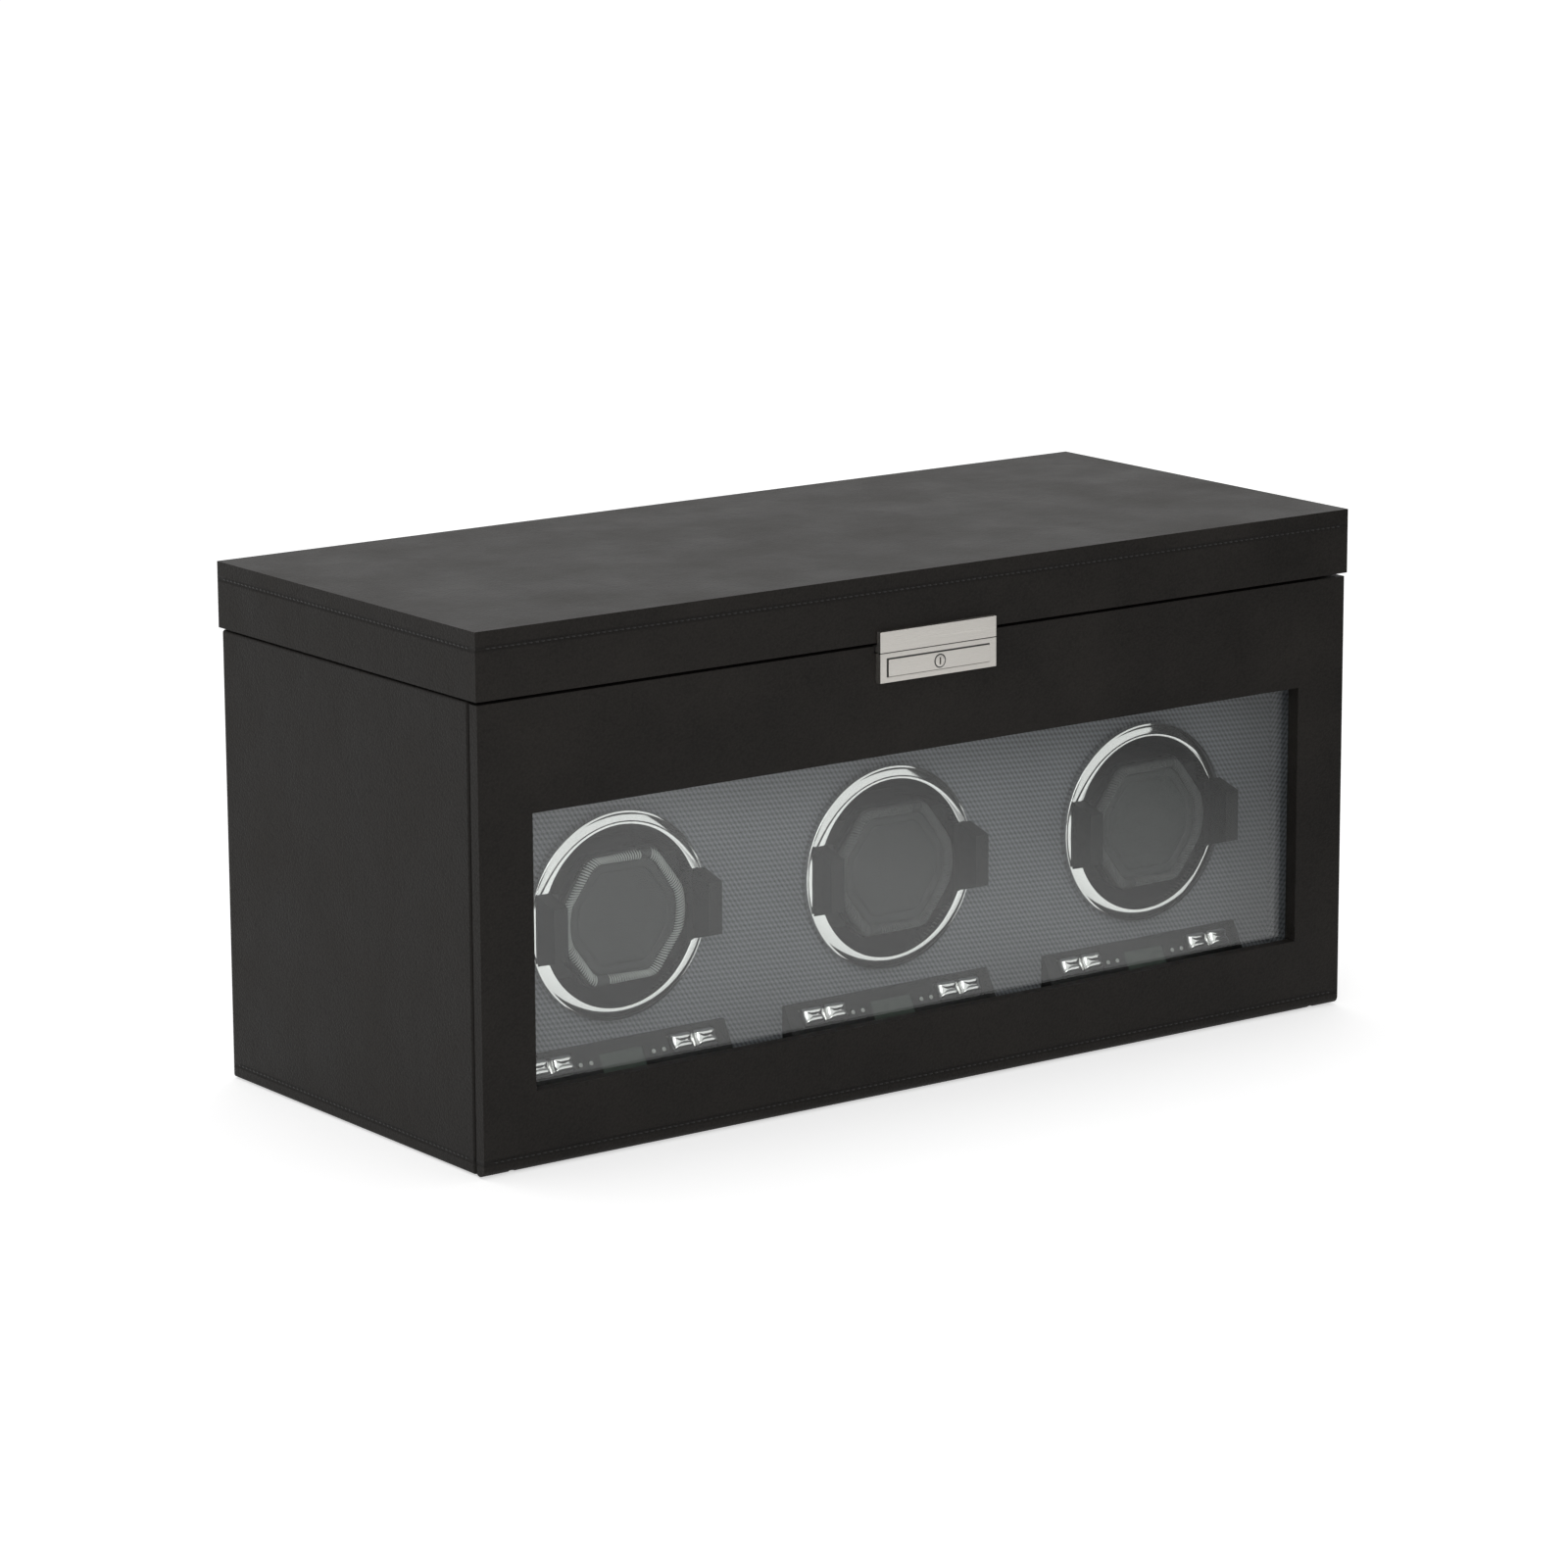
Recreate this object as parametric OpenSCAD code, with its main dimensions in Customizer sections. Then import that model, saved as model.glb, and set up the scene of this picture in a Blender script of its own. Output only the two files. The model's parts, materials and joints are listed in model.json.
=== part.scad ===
// Triple watch winder box: a leather-wrapped case with a drop-down glazed door,
// three motor-driven winding drums and a storage tray under a hinged lid.
// Millimetres. Origin at the middle of the underside, +X right, -Y front, +Z up.

/* [Box] */
// Overall width of the lid
box_w = 420; // [410:1:520]
// Overall depth of the lid
box_d = 180; // [165:1:230]
// Overall height, felt to lid top
box_h = 206; // [198:1:260]
// Height of the lid
lid_h = 26; // [22:1:34]
// How far the lid overhangs the case on every side
lid_overhang = 0.8; // [0.4:0.1:1.5]
// Thickness of the case walls
wall_t = 9; // [7:0.5:11]
// Thickness of the walls of the lid
lid_wall_t = 8.5; // [6:0.5:10]
// Thickness of the top board of the lid
lid_top_t = 5; // [4:0.5:7]
// Thickness of the base board
base_t = 8.4; // [6:0.2:9]
// Thickness of the felt under the base
felt_t = 0.6; // [0.4:0.1:1]

/* [Door] */
// Thickness of the door
door_t = 5; // [4.6:0.1:6]
// Width of the door on each side of its window
door_stile_w = 23.7; // [20:0.1:30]
// Height of the door below its window
door_rail_h = 29.6; // [27:0.1:31]
// Height of the window
window_h = 105.2; // [103:0.1:106]
// Thickness of the glass
glass_t = 2.5; // [2:0.1:2.8]
// Overlap of the glass behind the door on every side
glass_lap = 4.5; // [3:0.1:5]
// Radius of the rounded foot that the door turns on
door_foot_r = 3; // [2.8:0.1:3.2]

/* [Winders] */
// Distance between the drum centres
winder_pitch = 128.5; // [110:0.5:130]
// Height of the drum centres
winder_z = 83; // [82:0.5:85]
// Inner radius of a drum
drum_r = 35.4; // [34.6:0.1:36]
// Wall of a drum
drum_wall = 2.2; // [1.8:0.1:2.4]
// Depth of a drum's cup
drum_depth = 64; // [58:1:66]
// Width of the chrome bezel round a drum's mouth
bezel_w = 5.25; // [4.6:0.05:6.6]
// Radius of a drum's shaft
shaft_r = 4; // [3:0.1:4.5]
// Height of a cuff's pad
pad_h = 51; // [44:0.5:52]
// How far the bulging sides of a cuff's pad stay inside its drum
pad_inset = 6.6; // [6.4:0.1:8.4]
// Tooth size of the drum drive
gear_module = 1; // [0.8:0.1:1]
// Teeth round a drum
drum_teeth = 60; // [56:2:62]
// Teeth of a motor pinion
pinion_teeth = 12; // [12:2:16]
// Radius of the gear motors
motor_r = 12; // [10:0.5:15]

/* [Controls] */
// Width of a control panel
panel_w = 100; // [100:1:108]
// Height of a control panel above the floor
panel_rise = 23.5; // [22:0.1:24]
// How far a control panel slopes forward
panel_run = 12.8; // [11:0.1:14]
// Width of a display
lcd_w = 20; // [16:0.5:30]
// Distance of a rocker key from the middle of its panel
key_x = 33; // [32:0.5:35]
// Width of each pad of a rocker key
key_pad_w = 9.6; // [8:0.1:10]

/* [Storage] */
// Number of watch pillows
pillows = 5; // [4:1:5]
// Width of a pillow
pillow_w = 70; // [60:1:72]
// Depth of a pillow
pillow_d = 56; // [48:1:58]
// Height of a pillow
pillow_h = 42.5; // [36:0.5:45]
// Thickness of the tray walls
tray_t = 2.9; // [2:0.1:3]
// How far the tray stands out of the case
collar_h = 4.8; // [3:0.1:8]

/* [Lock] */
// Width of the lock plates
lock_w = 56; // [46:1:70]
// Height of the plate on the door
lock_plate_h = 11.4; // [11:0.1:13]
// Height of the plate on the lid
hasp_plate_h = 8.1; // [7:0.1:9]
// Width of the push button
button_w = 49; // [36:0.5:50]
// Height of the push button
button_h = 6.6; // [6:0.1:7]
// Radius of the lock cylinder
cylinder_r = 2.25; // [1.8:0.05:2.6]

/* [Clearances] */
// Running clearance of pins, shafts and bores
run_gap = 0.05; // [0.02:0.01:0.09]
// Gap between a loose piece and its seat
seat_gap = 0.3; // [0.2:0.05:0.4]
// Gap of the seam under the lid
seam_gap = 0.8; // [0.6:0.1:1.2]

/* [Hidden] */
$fn = 64;
winders = 3;
ends = ["left", "right"];

leather = [0.035, 0.034, 0.034];
grey_cloth = [0.42, 0.43, 0.44];
dark_plastic = [0.20, 0.21, 0.21];
suede = [0.30, 0.30, 0.30];

// case, walls and levels
case_x = box_w / 2 - lid_overhang;
case_y = box_d / 2 - lid_overhang;
inner_x = case_x - wall_t;
inner_back = case_y - wall_t;
lid_z = box_h - lid_h;
case_top = lid_z - seam_gap;
base_top = felt_t + base_t;
felt_inset = 4;

// door: it turns on its rounded foot, about a pin near its lower edge
door_front = -case_y;
door_back = door_front + door_t;
door_bottom = felt_t + 0.1;
door_top = case_top - 0.6;
pivot_y = door_front + door_foot_r;
pivot_z = door_bottom + door_foot_r;
case_front = pivot_y + door_foot_r + seat_gap;
pivot_pin_r = 0.9;
ear_r = 1.8;
ear_t = 2;
ear_inset = 4.2;
ear_x = inner_x - ear_inset;
ear_slot = 0.6;
bracket_w = 6;
bracket_d = 18;
tongue_t = 1.6;
door_pin_l = 9.2;
bracket_screw_in = 3;
bracket_screw_l = 6;

// window, glass and the frame that holds it
window_x = case_x - door_stile_w;
window_z = door_bottom + door_rail_h;
window_top = window_z + window_h;
glass_x = window_x + glass_lap;
retainer_lip = 1;
retainer_back = door_back + glass_t + retainer_lip;
retainer_side = 7;
retainer_top_t = 1.2;
retainer_top = window_top + glass_lap + retainer_top_t;

// storage deck and the rail across the front above the window
deck_t = 4;
rail_t = 7;
rail_z = retainer_top + 0.8;
rail_front = case_front + 0.9;
deck_front = retainer_back + 1.2;
tray_floor_t = 3;
tray_front = rail_front + rail_t;
tray_top = case_top + collar_h;
tray_x = inner_x;
pillow_bay = 62;
pillow_gap = (2 * tray_x - tray_t) / pillows;
pillow_z = rail_z + tray_floor_t + seat_gap;
pillow_round = 14;
lining_t = 3;
lining_gap = 0.5;

// winder compartment
liner_t = 2;
floor_z = base_top + liner_t;
fascia_t = 4;
fascia_front = case_front + 25.9;
fascia_back = fascia_front + fascia_t;
fascia_hole_r = drum_r + drum_wall + 1;

// drum, measured along Y
drum_front = fascia_front - 1.9;
drum_back = drum_front + drum_depth;
drum_floor_t = 3;
bezel_r = drum_r + bezel_w;
bezel_gap = 0.4;
bezel_fall = 1.15;
bezel_lip = 0.2;
bezel_round = 1.2;
bezel_front = fascia_front - 4.8;
gear_y = drum_back + 7;
gear_t = 6;
plate_y = gear_y + 11;
plate_t = 4;
plate_margin = 10;
plate_foot_d = 10;
plate_top_gap = 4;
plate_screw_shift = 6;
plate_screw_l = 5;
hub_r = 10;
neck_r = 7;
bush_r = 6;
bush_flange_r = 8;
bush_flange_t = 1.6;
bush_front = plate_y - bush_flange_t;
snap_r = shaft_r + 0.7;
snap_t = 2.4;

// drive: each drum's teeth mesh with a pinion straight below
gear_pitch_r = gear_module * drum_teeth / 2;
pinion_pitch_r = gear_module * pinion_teeth / 2;
pinion_z = winder_z - gear_pitch_r - pinion_pitch_r;
pressure_angle = 20;
backlash = 0.15;
addendum = 0.75 * gear_module;
dedendum = 1.1 * gear_module;
motor_shaft_r = 1.5;
motor_shaft_gap = 2;
motor_shaft_in = 4;
motor_step = 1.5;
motor_ear_t = 1.2;
motor_ear_z = 4;
motor_screw_out = 3;
motor_screw_proud = 0.8;
motor_head_t = 0.8;
pinion_over = 0.5;
gearbox_l = 10;
motor_l = 32;
motor_y = plate_y + plate_t;

// cuff
cuff_r = drum_r - seat_gap;
cuff_back = fascia_front + 35;
cuff_half_z = 21;
pad_r = drum_r - pad_inset;
pad_t = 3.5;
pad_front = bezel_front - 2.7;
pad_back = pad_front + pad_t;
pad_plate_t = 3;
pad_plate_lap = 0.6;
pad_chamfer_r = pad_r - 1.4;
pad_chamfer_a = 36.5;
arm_t = 5.8;
arm_x = cuff_r - arm_t;
tab_x = drum_r + 3;
tab_w = 6.3;
tab_back = bezel_front - bezel_gap;
tab_front = tab_back - 11.4;
tab_root_z = 13.6;
tab_tip_z = 10.3;

// control panel: the frame of its sloping plate lies at its top edge
panel_t = 2;
panel_top_y = fascia_front - 1.2;
panel_top_z = floor_z + panel_rise;
panel_tilt = -atan(panel_run / panel_rise);
panel_l = norm([panel_run, panel_rise]);
panel_ledge_t = 1.5;
panel_end_t = 1.5;
panel_lap_x = 3;
panel_lap_z = 1;
lcd_z = [-17, -4.5];
key_z = [-9.8, -2.2];
key_gap = 0.25;
key_end_gap = 0.7;
key_pitch = key_pad_w + 1.4;
key_pin_r = 0.9;
key_pin_y = 3.2;
key_dome_r = 4.6;
key_proud = 2.2;
key_bar_t = 1.8;
key_bar_inset = 1;
key_stem_w = 2.8;
key_sink = 0.2;
bearing_t = 1.6;
bearing_w = 3.6;
board_t = 1.6;
board_y = 7;
board_inset_x = 5;
board_foot = 8;
board_head = 4;
lcd_leg = 1;

// lid hinges, on the outside of the back
hinge_x = 140;
hinge_l = 40;
knuckle_r = 2;
hinge_pin_r = 1;
leaf_t = 1.2;
hinge_y = box_d / 2 + knuckle_r + seat_gap;
hinge_z = lid_z - 0.4;
knuckle_half = 7;
leaf_drop = 21.6;
leaf_top_gap = 3;
case_web_h = 5;
lid_web_h = 3;
lid_leaf_z = [2.5, 18];
screw_r = 0.9;
screw_head_r = 1.8;
screw_head_t = 0.7;
screw_l = 7;
screw_out = 14;
lid_screw_z = lid_z + 10;
case_screw_z = case_top - 12;

// lock
lock_front = door_front - 3.2;
hasp_z = lid_z - 3.8;
lock_top = hasp_z - seat_gap;
lock_z = lock_top - lock_plate_h;
button_z = lock_z + lock_plate_h / 2;
button_proud = 0.7;
button_back = door_front - 0.4;
button_travel = 1.2;
button_pocket = door_front + 1.6;
hasp_back = door_front + 2.6;
nib_w = 12;
nib_t = 1.4;
nib_drop = 1.5;
lock_side_gap = 0.6;
nib_side_gap = 1;
nib_back_gap = 0.8;
cylinder_proud = 0.2;
key_slot_w = 0.7;
key_slot_h = 2.8;
key_slot_d = 1.2;

// power inlet
jack_x = 150;
jack_z = 40;
jack_r = 4.5;
jack_bore_r = 2.9;
jack_bore_l = 9;
jack_pin_r = 1;
jack_flange_w = 1.5;
jack_flange_t = 1.4;
jack_body_in = 5;
vent_x = 60;
vent_w = 3;
vent_h = 30;
vent_gap = 8;

// power board, on four feet behind the drive plate
power_x = [60, 112];
power_foot_h = 4;
power_foot_r = 2;
power_foot_in = 4;
connector_x = [84, 96];
connector_d = 10;
connector_top = 12;

// The block between two corners given as [low, high] pairs
module block(x, y, z) {
    translate([x[0], y[0], z[0]])
        cube([x[1] - x[0], y[1] - y[0], z[1] - z[0]]);
}

// A cylinder along X
module rod_x(r, x, y, z) {
    translate([x[0], y, z])
        rotate([0, 90, 0])
            cylinder(r = r, h = x[1] - x[0]);
}

// A cylinder along Y
module rod_y(r, x, y, z) {
    translate([x, y[1], z])
        rotate([90, 0, 0])
            cylinder(r = r, h = y[1] - y[0]);
}

// An outline in X and Z, extruded along Y
module slab_y(y) {
    translate([0, y[1], 0])
        rotate([90, 0, 0])
            linear_extrude(y[1] - y[0])
                children();
}

// Children moved into the frame of a sloping control panel:
// X along it, -Z down the slope and -Y out of its face
module on_panel(x) {
    translate([x, panel_top_y, panel_top_z])
        rotate([panel_tilt, 0, 0])
            children();
}

function winder_x(i) = (i - (winders + 1) / 2) * winder_pitch;
function pillow_x(i) = (i - (pillows + 1) / 2) * pillow_gap;

// ---- gears ----

function involute_angle(r, base) = r <= base ? 0 : tan(acos(base / r)) * 180 / PI - acos(base / r);

// Half the angle of a tooth at radius r
function tooth_half(r, pitch, teeth) =
    let (base = pitch * cos(pressure_angle))
    90 / teeth - backlash / 4 / pitch * 180 / PI
        + involute_angle(pitch, base) - involute_angle(max(r, base), base);

// One flank's radii, from root to tip
function flank(pitch) =
    let (base = pitch * cos(pressure_angle), root = pitch - dedendum, tip = pitch + addendum)
    root < base ? [root, base, (base + tip) / 2, tip] : [root, (root + tip) / 2, tip];

function tooth(pitch, teeth, turn) =
    let (rs = flank(pitch), n = len(rs))
    [for (k = [0 : 2 * n - 1])
        let (r = k < n ? rs[k] : rs[2 * n - 1 - k], a = (k < n ? -1 : 1) * tooth_half(r, pitch, teeth) + turn)
        [r * cos(a), r * sin(a)]];

module gear_outline(pitch, teeth, phase) {
    polygon([for (k = [0 : teeth - 1]) each tooth(pitch, teeth, phase + k * 360 / teeth)]);
}

// ---- case ----

module base_board() color(leather) difference() {
    block([-inner_x, inner_x], [case_front, inner_back], [felt_t, base_top]);
    for (s = [-1, 1])
        bracket_block(s);
    for (s = [-1, 1])
        bracket_screw(s);
    for (x = plate_screw_x())
        plate_screw(x);
}

module side_panel(s) color(leather)
    block(s > 0 ? [inner_x, case_x] : [-case_x, -inner_x], [case_front, case_y], [felt_t, case_top]);

module back_board() color(leather) difference() {
    block([-inner_x, inner_x], [inner_back, case_y], [felt_t, case_top]);
    rod_y(jack_r, jack_x, [inner_back - 1, case_y + 1], jack_z);
    for (x = [-vent_x, vent_x], k = [-3 : 3])
        block([x + k * vent_gap, x + k * vent_gap + vent_w], [inner_back - 1, case_y + 1],
            [jack_z, jack_z + vent_h]);
    hinge_screws(case_y, case_screw_z);
}

module front_rail() color(leather)
    block([-inner_x, inner_x], [rail_front, tray_front], [rail_z, case_top]);

module storage_deck() color(suede)
    block([-inner_x, inner_x], [deck_front, inner_back], [rail_z - deck_t, rail_z]);

module storage_tray() color(suede) difference() {
    block([-tray_x, tray_x], [tray_front, inner_back], [rail_z, tray_top]);
    for (i = [1 : pillows])
        block([pillow_x(i) - (pillow_gap - tray_t) / 2, pillow_x(i) + (pillow_gap - tray_t) / 2],
            [tray_front + tray_t, tray_front + tray_t + pillow_bay], [rail_z + tray_floor_t, tray_top + 1]);
    block([-tray_x + tray_t, tray_x - tray_t],
        [tray_front + 2 * tray_t + pillow_bay, inner_back - tray_t], [rail_z + tray_floor_t, tray_top + 1]);
}

module compartment_liner() color(grey_cloth) {
    block([-inner_x, inner_x], [deck_front, fascia_back], [base_top, floor_z]);
    for (s = [-1, 1])
        block(s > 0 ? [inner_x - liner_t, inner_x] : [-inner_x, liner_t - inner_x],
            [deck_front, fascia_back], [floor_z, rail_z - deck_t]);
}

module winder_fascia() color(grey_cloth) difference() {
    block([liner_t - inner_x, inner_x - liner_t], [fascia_front, fascia_back], [floor_z, rail_z - deck_t]);
    for (i = [1 : winders]) {
        rod_y(fascia_hole_r, winder_x(i), [fascia_front - 1, fascia_back + 1], winder_z);
        block([winder_x(i) - panel_w / 2 + panel_lap_x, winder_x(i) + panel_w / 2 - panel_lap_x],
            [fascia_front - 1, fascia_back + 1], [floor_z + liner_t, panel_top_z - panel_lap_z]);
    }
}

module base_felt() color([0.05, 0.05, 0.05])
    block([felt_inset - case_x, case_x - felt_inset], [case_front + felt_inset, case_y - felt_inset], [0, felt_t]);

// ---- drive ----

function plate_x() = winder_x(winders) + bezel_r + plate_margin;
function plate_screw_x() = [for (k = [-3, -1, 1, 3]) k * winder_pitch / 3 + sign(k) * plate_screw_shift];

module plate_screw(x) {
    translate([x, plate_y + plate_t + plate_foot_d / 2, base_top - plate_screw_l])
        cylinder(r = screw_r, h = plate_screw_l + floor_z - base_top);
}

module drive_plate() color([0.55, 0.56, 0.58]) difference() {
    union() {
        block([-plate_x(), plate_x()], [plate_y, plate_y + plate_t], [base_top, rail_z - deck_t - plate_top_gap]);
        block([-plate_x(), plate_x()], [plate_y, plate_y + plate_t + plate_foot_d], [base_top, floor_z]);
    }
    for (i = [1 : winders]) {
        rod_y(bush_r, winder_x(i), [plate_y - 1, plate_y + plate_t + 1], winder_z);
        rod_y(motor_shaft_r + motor_shaft_gap, winder_x(i), [plate_y - 1, plate_y + plate_t + 1], pinion_z);
        for (s = [-1, 1])
            motor_screw(i, s);
    }
    for (x = plate_screw_x())
        plate_screw(x);
}

module drum_bushes() color([0.80, 0.66, 0.36])
    for (i = [1 : winders])
        difference() {
            union() {
                rod_y(bush_r, winder_x(i), [bush_front, plate_y + plate_t], winder_z);
                rod_y(bush_flange_r, winder_x(i), [bush_front, plate_y], winder_z);
            }
            rod_y(shaft_r + run_gap, winder_x(i), [bush_front - 1, plate_y + plate_t + 1], winder_z);
        }

module motor_screw(i, s)
    rod_y(screw_r, winder_x(i) + s * (motor_r + motor_screw_out), [plate_y - motor_screw_proud, motor_y + motor_ear_t],
        pinion_z);

module gear_motors() color([0.62, 0.63, 0.65])
    for (i = [1 : winders])
        difference() {
            union() {
                rod_y(motor_r, winder_x(i), [motor_y, motor_y + gearbox_l], pinion_z);
                rod_y(motor_r - motor_step, winder_x(i), [motor_y + gearbox_l, motor_y + motor_l], pinion_z);
                block([winder_x(i) - motor_r - 2 * motor_screw_out, winder_x(i) + motor_r + 2 * motor_screw_out],
                    [motor_y, motor_y + motor_ear_t], [pinion_z - motor_ear_z, pinion_z + motor_ear_z]);
            }
            rod_y(motor_shaft_r + run_gap, winder_x(i), [motor_y - 1, motor_y + motor_shaft_in + 1], pinion_z);
            for (s = [-1, 1])
                motor_screw(i, s);
        }

module drum(i) color(dark_plastic) translate([winder_x(i), 0, winder_z]) {
    difference() {
        union() {
            rod_y(drum_r + drum_wall, 0, [drum_front, drum_back], 0);
            rod_y(hub_r, 0, [drum_back, gear_y], 0);
            rod_y(neck_r, 0, [gear_y, bush_front - seat_gap], 0);
            rod_y(shaft_r, 0, [bush_front - seat_gap, plate_y + plate_t + seat_gap + snap_t], 0);
            rod_y(snap_r, 0, [plate_y + plate_t + seat_gap, plate_y + plate_t + seat_gap + snap_t], 0);
            slab_y([gear_y, gear_y + gear_t])
                gear_outline(gear_pitch_r, drum_teeth, 180 / drum_teeth - 90);
        }
        rod_y(drum_r, 0, [drum_front - 1, drum_back - drum_floor_t], 0);
    }
}

// Half section of a bezel: a face that falls outwards from the mouth to a rounded rim
function bezel_section() = concat(
    [[drum_r, bezel_gap - fascia_front], [drum_r, -bezel_front - bezel_lip], [drum_r + bezel_lip, -bezel_front]],
    [for (a = [75 : -15 : 0]) [bezel_r - bezel_round + bezel_round * cos(a),
        -bezel_front - bezel_fall - bezel_round + bezel_round * sin(a)]],
    [[bezel_r, bezel_gap - fascia_front]]);

module bezel(i) color([0.85, 0.85, 0.86])
    translate([winder_x(i), 0, winder_z])
        rotate([90, 0, 0])
            rotate_extrude($fn = 96)
                difference() {
                    polygon(bezel_section());
                    translate([0, -fascia_front])
                        square([drum_r + drum_wall, fascia_front - drum_front]);
                }

module pinion(i) color([0.85, 0.85, 0.80]) translate([winder_x(i), 0, pinion_z]) {
    slab_y([gear_y - pinion_over, gear_y + gear_t + pinion_over])
        gear_outline(pinion_pitch_r, pinion_teeth, 90);
    rod_y(motor_shaft_r, 0, [gear_y - pinion_over, motor_y + motor_shaft_in], 0);
}

// ---- cuffs ----

// The pad's outline: a disc cut straight at the top and bottom and flattened at its corners
module pad_outline(grow)
    intersection() {
        intersection() {
            circle(r = pad_r + grow);
            square([2 * drum_r, pad_h + 2 * grow], center = true);
        }
        intersection() {
            rotate(pad_chamfer_a)
                square([2 * (pad_chamfer_r + grow), 4 * drum_r], center = true);
            rotate(-pad_chamfer_a)
                square([2 * (pad_chamfer_r + grow), 4 * drum_r], center = true);
        }
    }

module cuff_frame(i) color(dark_plastic) translate([winder_x(i), 0, winder_z]) {
    slab_y([pad_back, pad_back + pad_plate_t])
        pad_outline(pad_plate_lap);
    intersection() {
        rod_y(cuff_r, 0, [pad_front, cuff_back], 0);
        union() {
            block([-arm_x, arm_x], [pad_back + pad_plate_t, cuff_back], [-cuff_half_z, cuff_half_z]);
            for (s = [-1, 1])
                block(s > 0 ? [arm_x, drum_r] : [-drum_r, -arm_x], [tab_back - 1, cuff_back],
                    [-tab_root_z, tab_root_z]);
        }
    }
    for (s = [-1, 1])
        finger_tab(s);
}

module finger_tab(s)
    translate([s > 0 ? tab_x - tab_w : -tab_x, 0, 0])
        rotate([90, 0, 90])
            linear_extrude(tab_w)
                polygon([[tab_back, -tab_root_z], [tab_back, tab_root_z],
                    [tab_front, tab_tip_z], [tab_front, -tab_tip_z]]);

module cuff_pad(i) color([0.38, 0.39, 0.38]) translate([winder_x(i), 0, winder_z])
    slab_y([pad_front, pad_back])
        pad_outline(0);

// ---- controls ----

// The side profile of a control panel: a wedge against the fascia
module panel_wedge(x)
    translate([x[0], 0, 0])
        rotate([90, 0, 90])
            linear_extrude(x[1] - x[0])
                polygon([[fascia_front, floor_z], [fascia_front, panel_top_z], [panel_top_y, panel_top_z],
                    [panel_top_y - panel_run, floor_z]]);

module control_panels() color([0.10, 0.11, 0.12])
    for (i = [1 : winders])
        difference() {
            union() {
                difference() {
                    panel_wedge([winder_x(i) - panel_w / 2, winder_x(i) + panel_w / 2]);
                    on_panel(winder_x(i))
                        block([panel_end_t - panel_w / 2, panel_w / 2 - panel_end_t], [panel_t, 2 * panel_l],
                            [-2 * panel_l, -panel_ledge_t]);
                }
                for (s = [-1, 1])
                    on_panel(winder_x(i) + s * key_x)
                        key_bearings();
            }
            on_panel(winder_x(i))
                block([-lcd_w / 2, lcd_w / 2], [-1, panel_t + 1], lcd_z);
            for (s = [-1, 1])
                on_panel(winder_x(i) + s * key_x)
                    key_opening();
        }

function key_hole() = key_pitch / 2 + key_pad_w / 2 + key_end_gap;
function key_pin_ends() = [key_z[0] - key_gap - bearing_t, key_z[1] + key_gap + bearing_t];

// The two bearings of a rocker key, at the ends of its pin
module key_bearings()
    for (z = [key_pin_ends()[0], key_z[1] + key_gap])
        block([-bearing_w / 2, bearing_w / 2], [panel_t - key_sink, key_pin_y + bearing_w / 2], [z, z + bearing_t]);

// The hole in the panel for a rocker key, and the bore for its pin
module key_opening() {
    block([-key_hole(), key_hole()], [-1, panel_t], [key_z[0] - key_gap, key_z[1] + key_gap]);
    translate([0, key_pin_y, key_pin_ends()[0] - run_gap])
        cylinder(r = key_pin_r + run_gap, h = key_pin_ends()[1] - key_pin_ends()[0] + 2 * run_gap);
}

module lcd_windows() color([0.45, 0.50, 0.47])
    for (i = [1 : winders])
        on_panel(winder_x(i))
            block([-lcd_w / 2, lcd_w / 2], [key_sink, panel_t], lcd_z);

module circuit_boards() color([0.05, 0.25, 0.12])
    for (i = [1 : winders])
        on_panel(winder_x(i)) {
            block([board_inset_x - panel_w / 2, panel_w / 2 - board_inset_x], [board_y, board_y + board_t],
                [board_foot - panel_l, -board_head]);
            for (x = [lcd_leg - lcd_w / 2, lcd_w / 2 - lcd_leg])
                block([x - lcd_leg, x + lcd_leg], [panel_t, board_y], [lcd_z[0] + lcd_leg, lcd_z[0] + 3 * lcd_leg]);
        }

module rocker(i, s) color([0.85, 0.85, 0.86]) on_panel(winder_x(i) + s * key_x) {
    for (k = [-1, 1])
        intersection() {
            block([k * key_pitch / 2 - key_pad_w / 2, k * key_pitch / 2 + key_pad_w / 2],
                [-key_proud, panel_t], key_z);
            rod_x(key_dome_r, [-key_pitch, key_pitch], key_dome_r - key_proud, (key_z[0] + key_z[1]) / 2);
        }
    block([-key_pitch / 2, key_pitch / 2], [key_sink, key_bar_t], [key_z[0] + key_bar_inset, key_z[1] - key_bar_inset]);
    block([-key_stem_w / 2, key_stem_w / 2], [key_bar_t, key_pin_y + key_pin_r], key_z);
    translate([0, key_pin_y, key_pin_ends()[0]])
        cylinder(r = key_pin_r, h = key_pin_ends()[1] - key_pin_ends()[0]);
}

module power_board() color([0.05, 0.25, 0.12]) {
    y = [plate_y + plate_t + plate_foot_d + 4, inner_back - 3];
    z = base_top + power_foot_h;
    block(power_x, y, [z, z + board_t]);
    for (fx = [power_x[0] + power_foot_in, power_x[1] - power_foot_in], fy = [y[0] + power_foot_in, y[1] - power_foot_in])
        translate([fx, fy, base_top])
            cylinder(r = power_foot_r, h = power_foot_h);
    block(connector_x, [y[0] + power_foot_in, y[0] + power_foot_in + connector_d], [z + board_t, base_top + connector_top]);
}

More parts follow.
